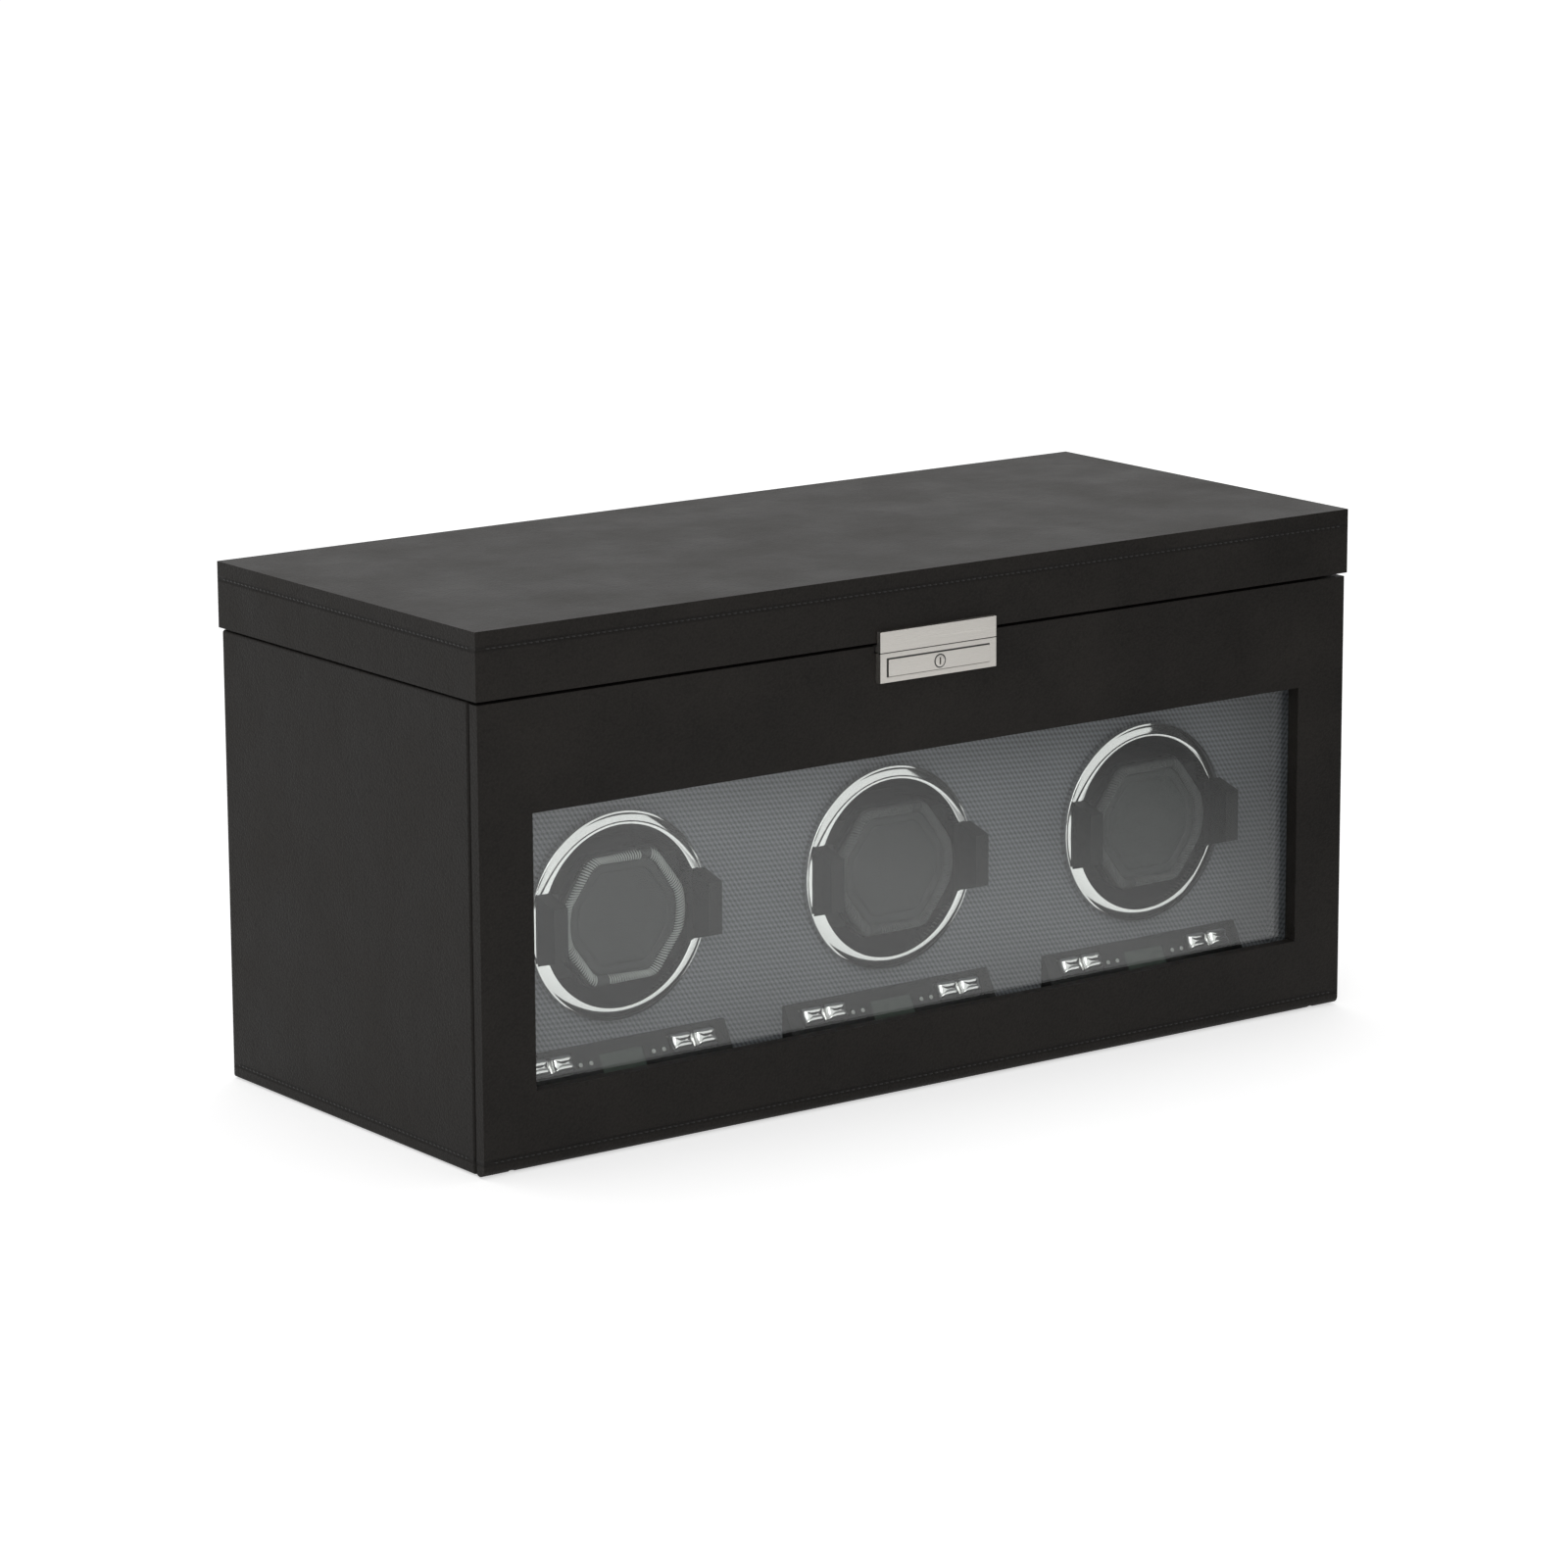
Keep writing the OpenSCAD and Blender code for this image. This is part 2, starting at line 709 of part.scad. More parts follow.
module dc_jack() color([0.12, 0.12, 0.13]) {
    difference() {
        union() {
            rod_y(jack_r, jack_x, [inner_back - jack_body_in, case_y], jack_z);
            rod_y(jack_r + jack_flange_w, jack_x, [case_y, case_y + jack_flange_t], jack_z);
        }
        rod_y(jack_bore_r, jack_x, [case_y + jack_flange_t - jack_bore_l, case_y + jack_flange_t + 1], jack_z);
    }
    rod_y(jack_pin_r, jack_x, [case_y + jack_flange_t - jack_bore_l, case_y], jack_z);
}

// ---- door ----

// The block of a door bracket, with a tongue let into the top of the base board
module bracket_block(s) {
    block([s * ear_x - bracket_w / 2, s * ear_x + bracket_w / 2], [case_front, case_front + bracket_d / 2],
        [pivot_z - ear_r, base_top]);
    block([s * ear_x - bracket_w / 2, s * ear_x + bracket_w / 2], [case_front, case_front + bracket_d],
        [base_top - tongue_t, base_top]);
}

// A screw with its head flush in the tongue
module bracket_screw(s)
    translate([s * ear_x, case_front + bracket_d - bracket_screw_in, base_top]) {
        translate([0, 0, -bracket_screw_l])
            cylinder(r = screw_r, h = bracket_screw_l);
        translate([0, 0, -screw_head_t])
            cylinder(r = screw_head_r, h = screw_head_t);
    }

module door_brackets() color([0.60, 0.61, 0.62])
    for (s = [-1, 1])
        difference() {
            union() {
                bracket_block(s);
                block([s * ear_x - ear_t / 2, s * ear_x + ear_t / 2], [pivot_y, case_front],
                    [pivot_z - ear_r, pivot_z + ear_r]);
                rod_x(ear_r, [s * ear_x - ear_t / 2, s * ear_x + ear_t / 2], pivot_y, pivot_z);
            }
            rod_x(pivot_pin_r + run_gap, [s * ear_x - ear_t, s * ear_x + ear_t], pivot_y, pivot_z);
            bracket_screw(s);
        }

module door_pins() color([0.75, 0.75, 0.76])
    for (s = [-1, 1])
        rod_x(pivot_pin_r, [s * ear_x - door_pin_l / 2, s * ear_x + door_pin_l / 2], pivot_y, pivot_z);

module door_panel() color(leather) difference() {
    union() {
        block([-case_x, case_x], [door_front, door_back], [pivot_z, door_top]);
        intersection() {
            rod_x(door_foot_r, [-case_x, case_x], pivot_y, pivot_z);
            block([-case_x, case_x], [door_front, door_back], [door_bottom, pivot_z]);
        }
    }
    block([-window_x, window_x], [door_front - 1, door_back + 1], [window_z, window_top]);
    block([-lock_w / 2 - lock_side_gap, lock_w / 2 + lock_side_gap], [door_front - 1, door_back + 1], [lock_top, door_top + 1]);
    block([-nib_w / 2 - nib_side_gap, nib_w / 2 + nib_side_gap], [hasp_back - nib_t - nib_back_gap, door_back + 1],
        [lock_top - nib_drop, lock_top + 1]);
    block([-button_w / 2 - key_gap, button_w / 2 + key_gap], [door_front - 1, button_pocket],
        [button_z - button_h / 2 - key_gap, button_z + button_h / 2 + key_gap]);
    for (s = [-1, 1]) {
        block([s * ear_x - ear_t / 2 - ear_slot, s * ear_x + ear_t / 2 + ear_slot],
            [pivot_y - ear_r - seat_gap, door_back + 1], [door_bottom - 1, pivot_z + ear_r + seat_gap]);
        rod_x(pivot_pin_r, [s * ear_x - door_pin_l / 2, s * ear_x + door_pin_l / 2], pivot_y, pivot_z);
    }
}

module door_glass() color([0.7, 0.75, 0.74, 0.35])
    block([-glass_x, glass_x], [door_back, door_back + glass_t], [window_z - glass_lap, window_top + glass_lap]);

module glass_retainer() color(leather) difference() {
    block([-glass_x - retainer_side, glass_x + retainer_side], [door_back, retainer_back],
        [window_z - glass_lap - retainer_side, retainer_top]);
    block([-glass_x, glass_x], [door_back - 1, door_back + glass_t],
        [window_z - glass_lap, window_top + glass_lap]);
    block([-window_x - 1, window_x + 1], [door_back - 1, retainer_back + 1], [window_z - 1, window_top + 1]);
}

module lock_plate() color([0.72, 0.71, 0.68]) difference() {
    block([-lock_w / 2, lock_w / 2], [lock_front, door_front], [lock_z, lock_top]);
    block([-button_w / 2 - key_gap, button_w / 2 + key_gap], [lock_front - 1, door_front + 1],
        [button_z - button_h / 2 - key_gap, button_z + button_h / 2 + key_gap]);
}

module lock_button() color([0.76, 0.75, 0.72]) difference() {
    block([-button_w / 2, button_w / 2], [lock_front - button_proud, button_back],
        [button_z - button_h / 2, button_z + button_h / 2]);
    rod_y(cylinder_r + run_gap, 0, [lock_front - button_proud - 1, button_back + 1], button_z);
}

module lock_cylinder() color([0.80, 0.79, 0.76]) difference() {
    rod_y(cylinder_r, 0, [lock_front - button_proud - cylinder_proud, button_back], button_z);
    block([-key_slot_w / 2, key_slot_w / 2], [lock_front - button_proud - 1, lock_front + key_slot_d],
        [button_z - key_slot_h / 2, button_z + key_slot_h / 2]);
}

// ---- lid ----

module lid_shell() color(leather) difference() {
    block([-box_w / 2, box_w / 2], [-box_d / 2, box_d / 2], [lid_z, box_h]);
    block([lid_wall_t - box_w / 2, box_w / 2 - lid_wall_t], [lid_wall_t - box_d / 2, box_d / 2 - lid_wall_t],
        [lid_z - 1, box_h - lid_top_t]);
    hinge_screws(box_d / 2, lid_screw_z);
}

module lid_lining() color(suede)
    block([lid_wall_t + lining_gap - box_w / 2, box_w / 2 - lid_wall_t - lining_gap],
        [lid_wall_t + lining_gap - box_d / 2, box_d / 2 - lid_wall_t - lining_gap],
        [box_h - lid_top_t - lining_t, box_h - lid_top_t]);

module hasp_plate() color([0.72, 0.71, 0.68]) {
    block([-lock_w / 2, lock_w / 2], [lock_front, -box_d / 2], [hasp_z, hasp_z + hasp_plate_h]);
    block([-lock_w / 2, lock_w / 2], [-box_d / 2, hasp_back], [hasp_z, door_top]);
    block([-nib_w / 2, nib_w / 2], [hasp_back - nib_t, hasp_back], [hasp_z - nib_drop, hasp_z]);
}

// ---- lid hinges ----

module at_hinges()
    for (s = [-1, 1])
        translate([s * hinge_x, 0, 0])
            children();

module hinge_screws(face, z)
    at_hinges()
        for (s = [-1, 1])
            rod_y(screw_r, s * screw_out, [face + leaf_t - screw_l, face + leaf_t + 0.1], z);

module headed_screws(face, z)
    at_hinges()
        for (s = [-1, 1]) {
            rod_y(screw_r, s * screw_out, [face + leaf_t - screw_l, face + leaf_t], z);
            rod_y(screw_head_r, s * screw_out, [face + leaf_t, face + leaf_t + screw_head_t], z);
        }

// Knuckles of one leaf between pairs of X limits
module knuckles(spans, bore)
    at_hinges()
        for (span = spans)
            difference() {
                rod_x(knuckle_r, span, hinge_y, hinge_z);
                rod_x(bore, [span[0] - 1, span[1] + 1], hinge_y, hinge_z);
            }

module knuckle_webs(spans, y, z, bore)
    at_hinges()
        for (span = spans)
            difference() {
                block(span, y, z);
                rod_x(bore, [span[0] - 1, span[1] + 1], hinge_y, hinge_z);
            }

module case_hinge_leaves() color([0.70, 0.69, 0.66]) {
    spans = [[-hinge_l / 2, -knuckle_half], [knuckle_half, hinge_l / 2]];
    knuckles(spans, hinge_pin_r);
    knuckle_webs(spans, [case_y, hinge_y], [hinge_z - case_web_h, hinge_z], hinge_pin_r);
    difference() {
        at_hinges()
            block([-hinge_l / 2, hinge_l / 2], [case_y, case_y + leaf_t],
                [case_top - leaf_drop, case_top - leaf_top_gap]);
        hinge_screws(case_y, case_screw_z);
    }
}

module lid_hinge_leaves() color([0.70, 0.69, 0.66]) {
    spans = [[seat_gap - knuckle_half, knuckle_half - seat_gap]];
    knuckles(spans, hinge_pin_r + run_gap);
    knuckle_webs(spans, [box_d / 2, hinge_y], [hinge_z, lid_z + lid_web_h], hinge_pin_r + run_gap);
    difference() {
        at_hinges()
            block([-hinge_l / 2, hinge_l / 2], [box_d / 2, box_d / 2 + leaf_t],
                [lid_z + lid_leaf_z[0], lid_z + lid_leaf_z[1]]);
        hinge_screws(box_d / 2, lid_screw_z);
    }
}

module hinge_pins() color([0.75, 0.75, 0.76])
    at_hinges()
        rod_x(hinge_pin_r, [-hinge_l / 2, hinge_l / 2], hinge_y, hinge_z);

module case_screws() color([0.70, 0.69, 0.66]) {
    headed_screws(case_y, case_screw_z);
    for (i = [1 : winders], s = [-1, 1]) {
        motor_screw(i, s);
        rod_y(screw_head_r, winder_x(i) + s * (motor_r + motor_screw_out),
            [motor_y + motor_ear_t, motor_y + motor_ear_t + motor_head_t], pinion_z);
    }
    for (x = plate_screw_x()) {
        plate_screw(x);
        translate([x, plate_y + plate_t + plate_foot_d / 2, floor_z])
            cylinder(r = screw_head_r, h = screw_head_t);
    }
    for (s = [-1, 1])
        bracket_screw(s);
}

module lid_screws() color([0.70, 0.69, 0.66])
    headed_screws(box_d / 2, lid_screw_z);

// ---- storage ----

// A watch pillow: a block with rounded long edges
module pillow(i) color(suede)
    translate([pillow_x(i) - pillow_w / 2, tray_front + tray_t + pillow_bay / 2, pillow_z])
        rotate([90, 0, 90])
            linear_extrude(pillow_w)
                rounded_outline(pillow_d, pillow_h, pillow_round);

module rounded_outline(w, h, r) {
    for (x = [r - w / 2, w / 2 - r], y = [r, h - r])
        translate([x, y])
            circle(r = r);
    translate([-w / 2, r])
        square([w, h - 2 * r]);
    translate([r - w / 2, 0])
        square([w - 2 * r, h]);
}

base_board();
side_panel(-1);  // left_side
side_panel(1);  // right_side
back_board();
front_rail();
storage_deck();
storage_tray();
compartment_liner();
winder_fascia();
base_felt();
drive_plate();
drum_bushes();
gear_motors();
control_panels();
lcd_windows();
circuit_boards();
power_board();
dc_jack();
door_brackets();
case_hinge_leaves();
hinge_pins();
case_screws();
door_panel();
door_glass();
glass_retainer();
lock_plate();
door_pins();
lock_button();
lock_cylinder();
lid_shell();
lid_lining();
hasp_plate();
lid_hinge_leaves();
lid_screws();
for (i = [1 : winders]) {
    drum(i);
    bezel(i);
    pinion(i);
    cuff_frame(i);
    cuff_pad(i);
    rocker(i, -1);
    rocker(i, 1);
}
for (i = [1 : pillows])
    pillow(i);
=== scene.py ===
"""Triple watch winder box: a leather-wrapped case with a drop-down glazed door, three winding drums
with padded cuffs, control panels, and five watch pillows under a hinged lid."""

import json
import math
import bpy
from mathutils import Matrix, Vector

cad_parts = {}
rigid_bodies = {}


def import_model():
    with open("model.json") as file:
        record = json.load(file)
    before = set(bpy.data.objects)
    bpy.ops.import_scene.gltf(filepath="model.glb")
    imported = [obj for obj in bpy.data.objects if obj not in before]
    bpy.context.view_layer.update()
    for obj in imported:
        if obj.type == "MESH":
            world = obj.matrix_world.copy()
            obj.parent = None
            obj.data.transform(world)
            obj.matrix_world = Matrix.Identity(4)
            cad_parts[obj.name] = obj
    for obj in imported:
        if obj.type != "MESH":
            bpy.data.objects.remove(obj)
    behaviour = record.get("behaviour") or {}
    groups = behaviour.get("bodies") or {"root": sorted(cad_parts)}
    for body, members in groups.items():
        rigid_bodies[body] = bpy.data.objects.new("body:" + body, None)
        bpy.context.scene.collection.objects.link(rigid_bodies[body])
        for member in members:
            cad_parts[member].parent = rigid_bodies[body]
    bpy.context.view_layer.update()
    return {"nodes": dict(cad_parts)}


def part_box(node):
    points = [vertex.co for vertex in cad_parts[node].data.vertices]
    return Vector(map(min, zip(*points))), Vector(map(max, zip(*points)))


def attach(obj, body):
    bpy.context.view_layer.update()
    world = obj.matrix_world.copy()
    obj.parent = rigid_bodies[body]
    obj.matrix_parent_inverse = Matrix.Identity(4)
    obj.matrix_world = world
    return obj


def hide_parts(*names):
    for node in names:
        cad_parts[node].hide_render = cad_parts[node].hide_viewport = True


bl_info = {
    "name": "Triple Watch Winder Box",
    "version": (1, 0, 0),
    "blender": (4, 5, 0),
    "location": "3D View > Sidebar > Winder Box",
    "description": "Builds the leather, stitching, cushions, lock, winders and studio of a watch winder box",
    "category": "Object",
}

import bmesh
import bpy
from bpy.props import FloatProperty, FloatVectorProperty, IntProperty, PointerProperty
from mathutils import Matrix, Vector, noise
from mathutils.bvhtree import BVHTree

for spare in list(bpy.data.objects):
    bpy.data.objects.remove(spare)
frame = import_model()
TO_MM = 1000  # from metres
WINDERS = (1, 2, 3)
PILLOWS = (1, 2, 3, 4, 5)
SIDES = ("left", "right")
RIGHT = Vector((1, 0, 0))
FRONT = Vector((0, -1, 0))

CLOTH_FRAMES = 20
STITCH_INSET = 0.004  # from the corner of the box to the first stitch
STITCH_SINK = 0.0001  # how far the middle of a thread lies in the leather
BEZEL_WIDTH = 0.00525  # of the chrome, from the mouth of the drum to the rim
PAD_STITCH_PITCH = 0.0012
PAD_THREAD = 0.0004  # half the thickness of the thread round a pad
PANEL_SLOPE = (0.0128, 0.0235)  # depth and height of a control panel's slope
PANEL_BEVEL = 0.0004
KEY_DROP, LIGHT_DROP = 0.006, 0.0074  # from a panel's top edge, down its slope
KEY_HALF = (0.0050, 0.0039)  # half the width and half the height of one chrome pad
KEY_PITCH = 0.0055  # from the middle of a key to the middle of each of its pads
KEY_DOME = 0.0029
LIGHTS_AT = (-0.0192, -0.0144, 0.0144, 0.0192)  # indicator lights, from a panel's middle
LIGHT_SIZE = 0.78
PIPING_INSET = 0.0085  # from the end of a pillow to its piping
SEEN_RAYS = ("Is Camera Ray", "Is Glossy Ray", "Is Transmission Ray")


# ---- sizes, colours and studio that a user may change ----


def length(name, description, default, low=0.0, high=1.0):
    return FloatProperty(
        name=name, description=description, default=default, min=low, max=high,
        unit="LENGTH", subtype="DISTANCE", precision=5,
    )


def angle(name, description, degrees):
    return FloatProperty(
        name=name, description=description, default=math.radians(degrees), subtype="ANGLE", unit="ROTATION"
    )


def level(name, description, default, high, low=0.0, unit="NONE"):
    return FloatProperty(name=name, description=description, default=default, min=low, max=high, unit=unit)


def colour(name, description, default):
    return FloatVectorProperty(
        name=name, description=description, default=default, size=3, min=0, max=1, subtype="COLOR"
    )


class WinderBoxSizes(bpy.types.PropertyGroup):
    """Sizes of the sewn and padded work"""

    edge_round: length("Wrapped edge", "Radius of the leather where it wraps round a board", 0.0014)
    grain: length("Leather grain", "Width of one pebble of the leather grain", 0.0008)
    weave: length("Weave pitch", "Distance between the rows of the grey cloth's weave", 0.0017)
    stitch_pitch: length("Stitch pitch", "Distance from one stitch to the next", 0.0027)
    stitch_length: length("Stitch length", "Length of thread that shows in one stitch", 0.0019)
    stitch_width: length("Stitch width", "Width of the thread", 0.00075)
    lid_stitch_drop: length("Lid stitching", "Distance of the stitching below the top of the lid", 0.0066)
    base_stitch_rise: length("Base stitching", "Distance of the stitching above the underside", 0.006)
    pad_border: length("Pad border", "Width of the padded border of a cuff's pad", 0.0046)
    pad_inner: length("Pad inner seam", "Distance of a pad's inner seam from its edge", 0.0083)
    pad_puff: length("Pad swell", "Most that a cuff's pad may swell", 0.0016)
    pillow_puff: length("Pillow swell", "Most that a watch pillow may swell", 0.003)
    piping: length("Piping", "Radius of the piping round the pillows", 0.0008)
    lining_crown: length("Lining crown", "Height of the padding of the lid's lining", 0.0034)
    lining_channels: IntProperty(
        name="Lining channels", description="Padded channels across the lid's lining",
        default=10, min=1, max=24,
    )


class WinderBoxColours(bpy.types.PropertyGroup):
    """Colours of the materials"""

    leather: colour("Leather", "Black leather of the case", (0.0185, 0.0166, 0.0148))
    thread: colour("Thread", "Thread in the black leather", (0.0050, 0.0050, 0.0048))
    cloth: colour("Cloth", "Grey cloth round the winders", (0.153, 0.157, 0.172))
    suede: colour("Suede", "Suede of the tray, pillows and lining", (0.105, 0.106, 0.110))
    pad: colour("Pad", "Soft leather of the cuffs' pads", (0.048, 0.050, 0.049))
    # painted light: the first cuff's border thread is the same thread as on the other two cuffs, painted
    # lighter as if lit
    pad_thread: colour("Pad border", "Light border thread of the first cuff's pad", (0.42, 0.43, 0.42))
    plastic: colour("Plastic", "Moulded plastic of drums and cuffs", (0.012, 0.013, 0.0125))
    smoke: colour("Smoked plastic", "Glossy plastic of the control panels", (0.0045, 0.0048, 0.0048))
    display: colour("Display", "Displays of the control panels", (0.036, 0.050, 0.039))
    lens: colour("Indicator lens", "Clouded lenses of the indicator lights", (0.50, 0.51, 0.49))
    nickel: colour("Nickel", "Brushed nickel of the lock and hinges", (0.60, 0.577, 0.540))
    chrome: colour("Chrome", "Bright chrome of the bezels and keys", (0.74, 0.74, 0.73))
    steel: colour("Steel", "Plain steel of motors, pins and brackets", (0.42, 0.42, 0.43))
    brass: colour("Brass", "Brass of the drum bushes", (0.66, 0.47, 0.20))
    nylon: colour("Nylon", "Natural nylon of the pinions", (0.72, 0.70, 0.62))
    board: colour("Board", "Lacquer of the circuit boards", (0.012, 0.075, 0.030))


class WinderBoxStudio(bpy.types.PropertyGroup):
    """Camera and light"""

    azimuth: angle("Azimuth", "Turn of the camera round the box", -36.28)
    elevation: angle("Elevation", "Height of the camera over the horizon", 12.63)
    roll: angle("Roll", "Roll of the camera", -0.28)
    across: length("Across", "Sideways place of the box in the view", 0.00529, -1, 1)
    upward: length("Upward", "Upright place of the box in the view", -0.1028, -1, 1)
    distance: length("Distance", "Distance of the camera from the origin", 2.3397, 0.1, 20)
    lens: level("Lens", "Focal length in millimetres", 133.92, 500, 10)
    top_light: level("Top light", "Power of the light overhead", 10.8, 1000, unit="POWER")
    fill_light: level("Fill light", "Power of the light at the front", 22, 1000, unit="POWER")
    ambient: level("Ambient", "Light from all round", 0.42, 2)
    near_glow: level("Near floor", "Least brightness of the pale floor beside the box", 0.56, 1)
    far_glow: level("Far floor", "Least brightness of the pale floor away from the box", 0.74, 1)


# ---- finishes ----


class Finish:
    """A procedural finish: one Principled shader, with textures laid out in the piece's own millimetres"""

    def __init__(self, name, **sockets):
        self.material = bpy.data.materials.new(name)
        self.material.use_nodes = True
        self.tree = self.material.node_tree
        self.tree.nodes.clear()
        self.out = self.tree.nodes.new("ShaderNodeOutputMaterial")
        self.shader = self.tree.nodes.new("ShaderNodeBsdfPrincipled")
        self.tree.links.new(self.shader.outputs[0], self.out.inputs[0])
        for key, value in sockets.items():
            self.set(key.replace("_", " ").title().replace("Ior", "IOR"), value)

    def set(self, socket, value):
        """Gives one of the shader's sockets a value or a texture"""
        put(self.tree, self.shader.inputs[socket], value)
        return self

    def add(self, kind, props=None, inputs=None, out=0):
        """A new node with its settings and inputs; gives back one of its outputs"""
        node = self.tree.nodes.new(kind)
        for key, value in (props or {}).items():
            setattr(node, key, value)
        for key, value in (inputs or {}).items():
            put(self.tree, node.inputs[key], value)
        return node.outputs[out]

    def place(self, scale=(1, 1, 1), turn=(0, 0, 0)):
        """Coordinates in the piece's own millimetres, stretched and turned"""
        spot = self.add("ShaderNodeTexCoord", out=3)
        size = [TO_MM * s for s in scale]
        return self.add("ShaderNodeMapping", inputs={"Vector": spot, "Scale": size, "Rotation": turn})

    def noise(self, scale, detail=2.0, rough=0.5, at=None):
        """Cloudy noise, with so many clouds to the millimetre"""
        return self.add(
            "ShaderNodeTexNoise",
            inputs={"Vector": at or self.place(), "Scale": scale, "Detail": detail, "Roughness": rough},
        )

    def cells(self, scale, at=None, feature="F1", out=0):
        """A pattern of pebbles, with so many to the millimetre"""
        return self.add(
            "ShaderNodeTexVoronoi", {"feature": feature}, {"Vector": at or self.place(), "Scale": scale}, out
        )

    def math(self, operation, a, b=0.5, clamp=False):
        """One step of reckoning on two values"""
        return self.add("ShaderNodeMath", {"operation": operation, "use_clamp": clamp}, {0: a, 1: b})

    def sum(self, a, share_a, b, share_b, clamp=False):
        """Two values added, each times its share"""
        return self.math("ADD", self.math("MULTIPLY", a, share_a), self.math("MULTIPLY", b, share_b), clamp)

    def span(self, value, low, high, to_low=0.0, to_high=1.0):
        """A value stretched from one span to another, and held within it"""
        return self.add(
            "ShaderNodeMapRange",
            inputs={"Value": value, "From Min": low, "From Max": high, "To Min": to_low, "To Max": to_high},
        )

    def mix(self, amount, a, b):
        """From colour a to colour b"""
        return self.add("ShaderNodeMix", {"data_type": "RGBA"}, {0: amount, 6: (*a, 1), 7: (*b, 1)}, 2)

    def tint(self, amount, base, low, high):
        """The base colour, darker to lighter"""
        return self.mix(amount, [c * low for c in base], [min(1, c * high) for c in base])

    def mottle(self, value, low, high, base, spread):
        """Roughness that runs with a texture, from a little under its base to a little over it"""
        return self.set("Roughness", self.span(value, low, high, base - spread[0], base + spread[1]))

    def bump(self, height, depth, strength=1.0, over=None):
        """The surface raised by a texture, over another bump if one is given"""
        inputs = {"Height": height, "Distance": depth, "Strength": strength}
        if over is not None:
            inputs["Normal"] = over
        return self.add("ShaderNodeBump", inputs=inputs)


def ray_kinds(tree, *kinds):
    """One for the named kinds of ray and nothing for all others"""
    path = tree.nodes.new("ShaderNodeLightPath")
    most = path.outputs[kinds[0]]
    for kind in kinds[1:]:
        either = tree.nodes.new("ShaderNodeMath")
        either.operation = "MAXIMUM"
        put(tree, either.inputs[0], most)
        put(tree, either.inputs[1], path.outputs[kind])
        most = either.outputs[0]
    return most


def put(tree, socket, value):
    """Links an output to a socket, or sets the socket to a plain value"""
    if isinstance(value, bpy.types.NodeSocket):
        tree.links.new(value, socket)
    elif socket.type == "RGBA" and len(value) == 3:
        socket.default_value = (*value, 1)
    else:
        socket.default_value = value


def leather(name, base, grain, roughness=0.5, specular=0.11, depth=0.00010, seam=None):
    """Grained leather: small pebbles with creases between them, soft patches and a low sheen.
    A seam is the height of a row of stitching, which pulls the leather into a furrow, and painted shade
    darkens the colour along it."""
    f = Finish(name, roughness=roughness, specular_ior_level=specular)
    wander = f.noise(0.7 / (grain * TO_MM), 2)
    bent = f.add("ShaderNodeVectorMath", {"operation": "ADD"}, {0: f.place(), 1: wander})
    pebble = f.cells(1 / (grain * TO_MM), bent, "SMOOTH_F1")
    fine = f.noise(2.4, 3, 0.6)
    patch = f.noise(0.028, 3, 0.55)
    crease = f.span(pebble, 0.15, 0.75)
    shade = f.sum(crease, -0.45, patch, 1.1, True)
    swell = f.bump(f.noise(0.045, 2), 0.0011, 0.35)
    if seam is not None:
        upright = f.add("ShaderNodeSeparateXYZ", inputs={0: f.place()}, out=2)
        away = f.math("ABSOLUTE", f.math("SUBTRACT", upright, seam * TO_MM))
        furrow_and_shade = f.span(away, 0.35, 1.3)
        # painted shade: along the stitching's furrow the colour darkens to a fifth
        shade = f.math("MULTIPLY", shade, f.span(furrow_and_shade, 0, 1, 0.2, 1))
        swell = f.bump(furrow_and_shade, 0.0008, 1.0, swell)
    # with a seam the darkest tone is 0.6 of the base colour instead of 0.78, which deepens the painted shade
    f.set("Base Color", f.tint(shade, base, 0.6 if seam else 0.78, 1.45))
    f.mottle(f.sum(patch, 1, fine, 0.35), 0.35, 0.95, roughness, (0.07, 0.09))
    f.set("Normal", f.bump(f.sum(crease, -1, fine, 0.5), depth, 0.8, swell))
    return f.material


def weave(name, base, pitch, contrast=1.0):
    """Technical cloth: short bright floats of yarn in slanted rows"""
    f = Finish(name, roughness=0.7, specular_ior_level=0.2, sheen_weight=0.08, sheen_roughness=0.5)
    pitch *= TO_MM
    spot = f.tree.nodes.new("ShaderNodeSeparateXYZ")
    put(f.tree, spot.inputs[0], f.place())
    height = spot.outputs[2]
    flat_turn = f.math("ADD", spot.outputs[0], spot.outputs[1])
    lean = math.radians(33)
    turn = 2 * math.pi / pitch
    along_turn = turn / 1.5
    across = f.sum(flat_turn, math.cos(lean) * turn, height, math.sin(lean) * turn)
    along = f.sum(flat_turn, -math.sin(lean) * along_turn, height, math.cos(lean) * along_turn)
    knots = f.math("SINE", f.sum(along, 1, across, 0.5))
    floats = f.span(f.sum(f.math("SINE", across), 1, knots, 0.8), -1.5, 1.5)
    fuzz = f.noise(1.4, 2, 0.5)
    cloud = f.noise(0.02, 2)
    tone = f.sum(floats, 0.78 * contrast, f.math("ADD", fuzz, cloud), 0.11, True)
    f.set("Base Color", f.tint(tone, base, 0.45, 1.6))
    f.set("Roughness", f.span(floats, 0, 1, 0.78, 0.62))
    f.set("Normal", f.bump(floats, 0.00012, 0.5))
    return f.material


def napped(name, base, streak=0.05, sheen=0.5, depth=0.00012):
    """Suede or felt: brushed nap with a soft edge and lighter and darker strokes"""
    f = Finish(name, roughness=0.92, specular_ior_level=0.15, sheen_weight=sheen, sheen_roughness=0.45)
    nap = f.noise(2.6, 4, 0.65)
    strokes = f.noise(streak, 3, 0.6, f.place((1, 0.55, 1)))
    speck = f.noise(0.9, 2, 0.5)
    tone = f.sum(nap, 0.45, f.math("ADD", strokes, speck), 0.35, True)
    f.set("Base Color", f.tint(tone, base, 0.62, 1.42))
    f.set("Normal", f.bump(f.sum(nap, 1, speck, 0.6), depth, 0.8))
    return f.material


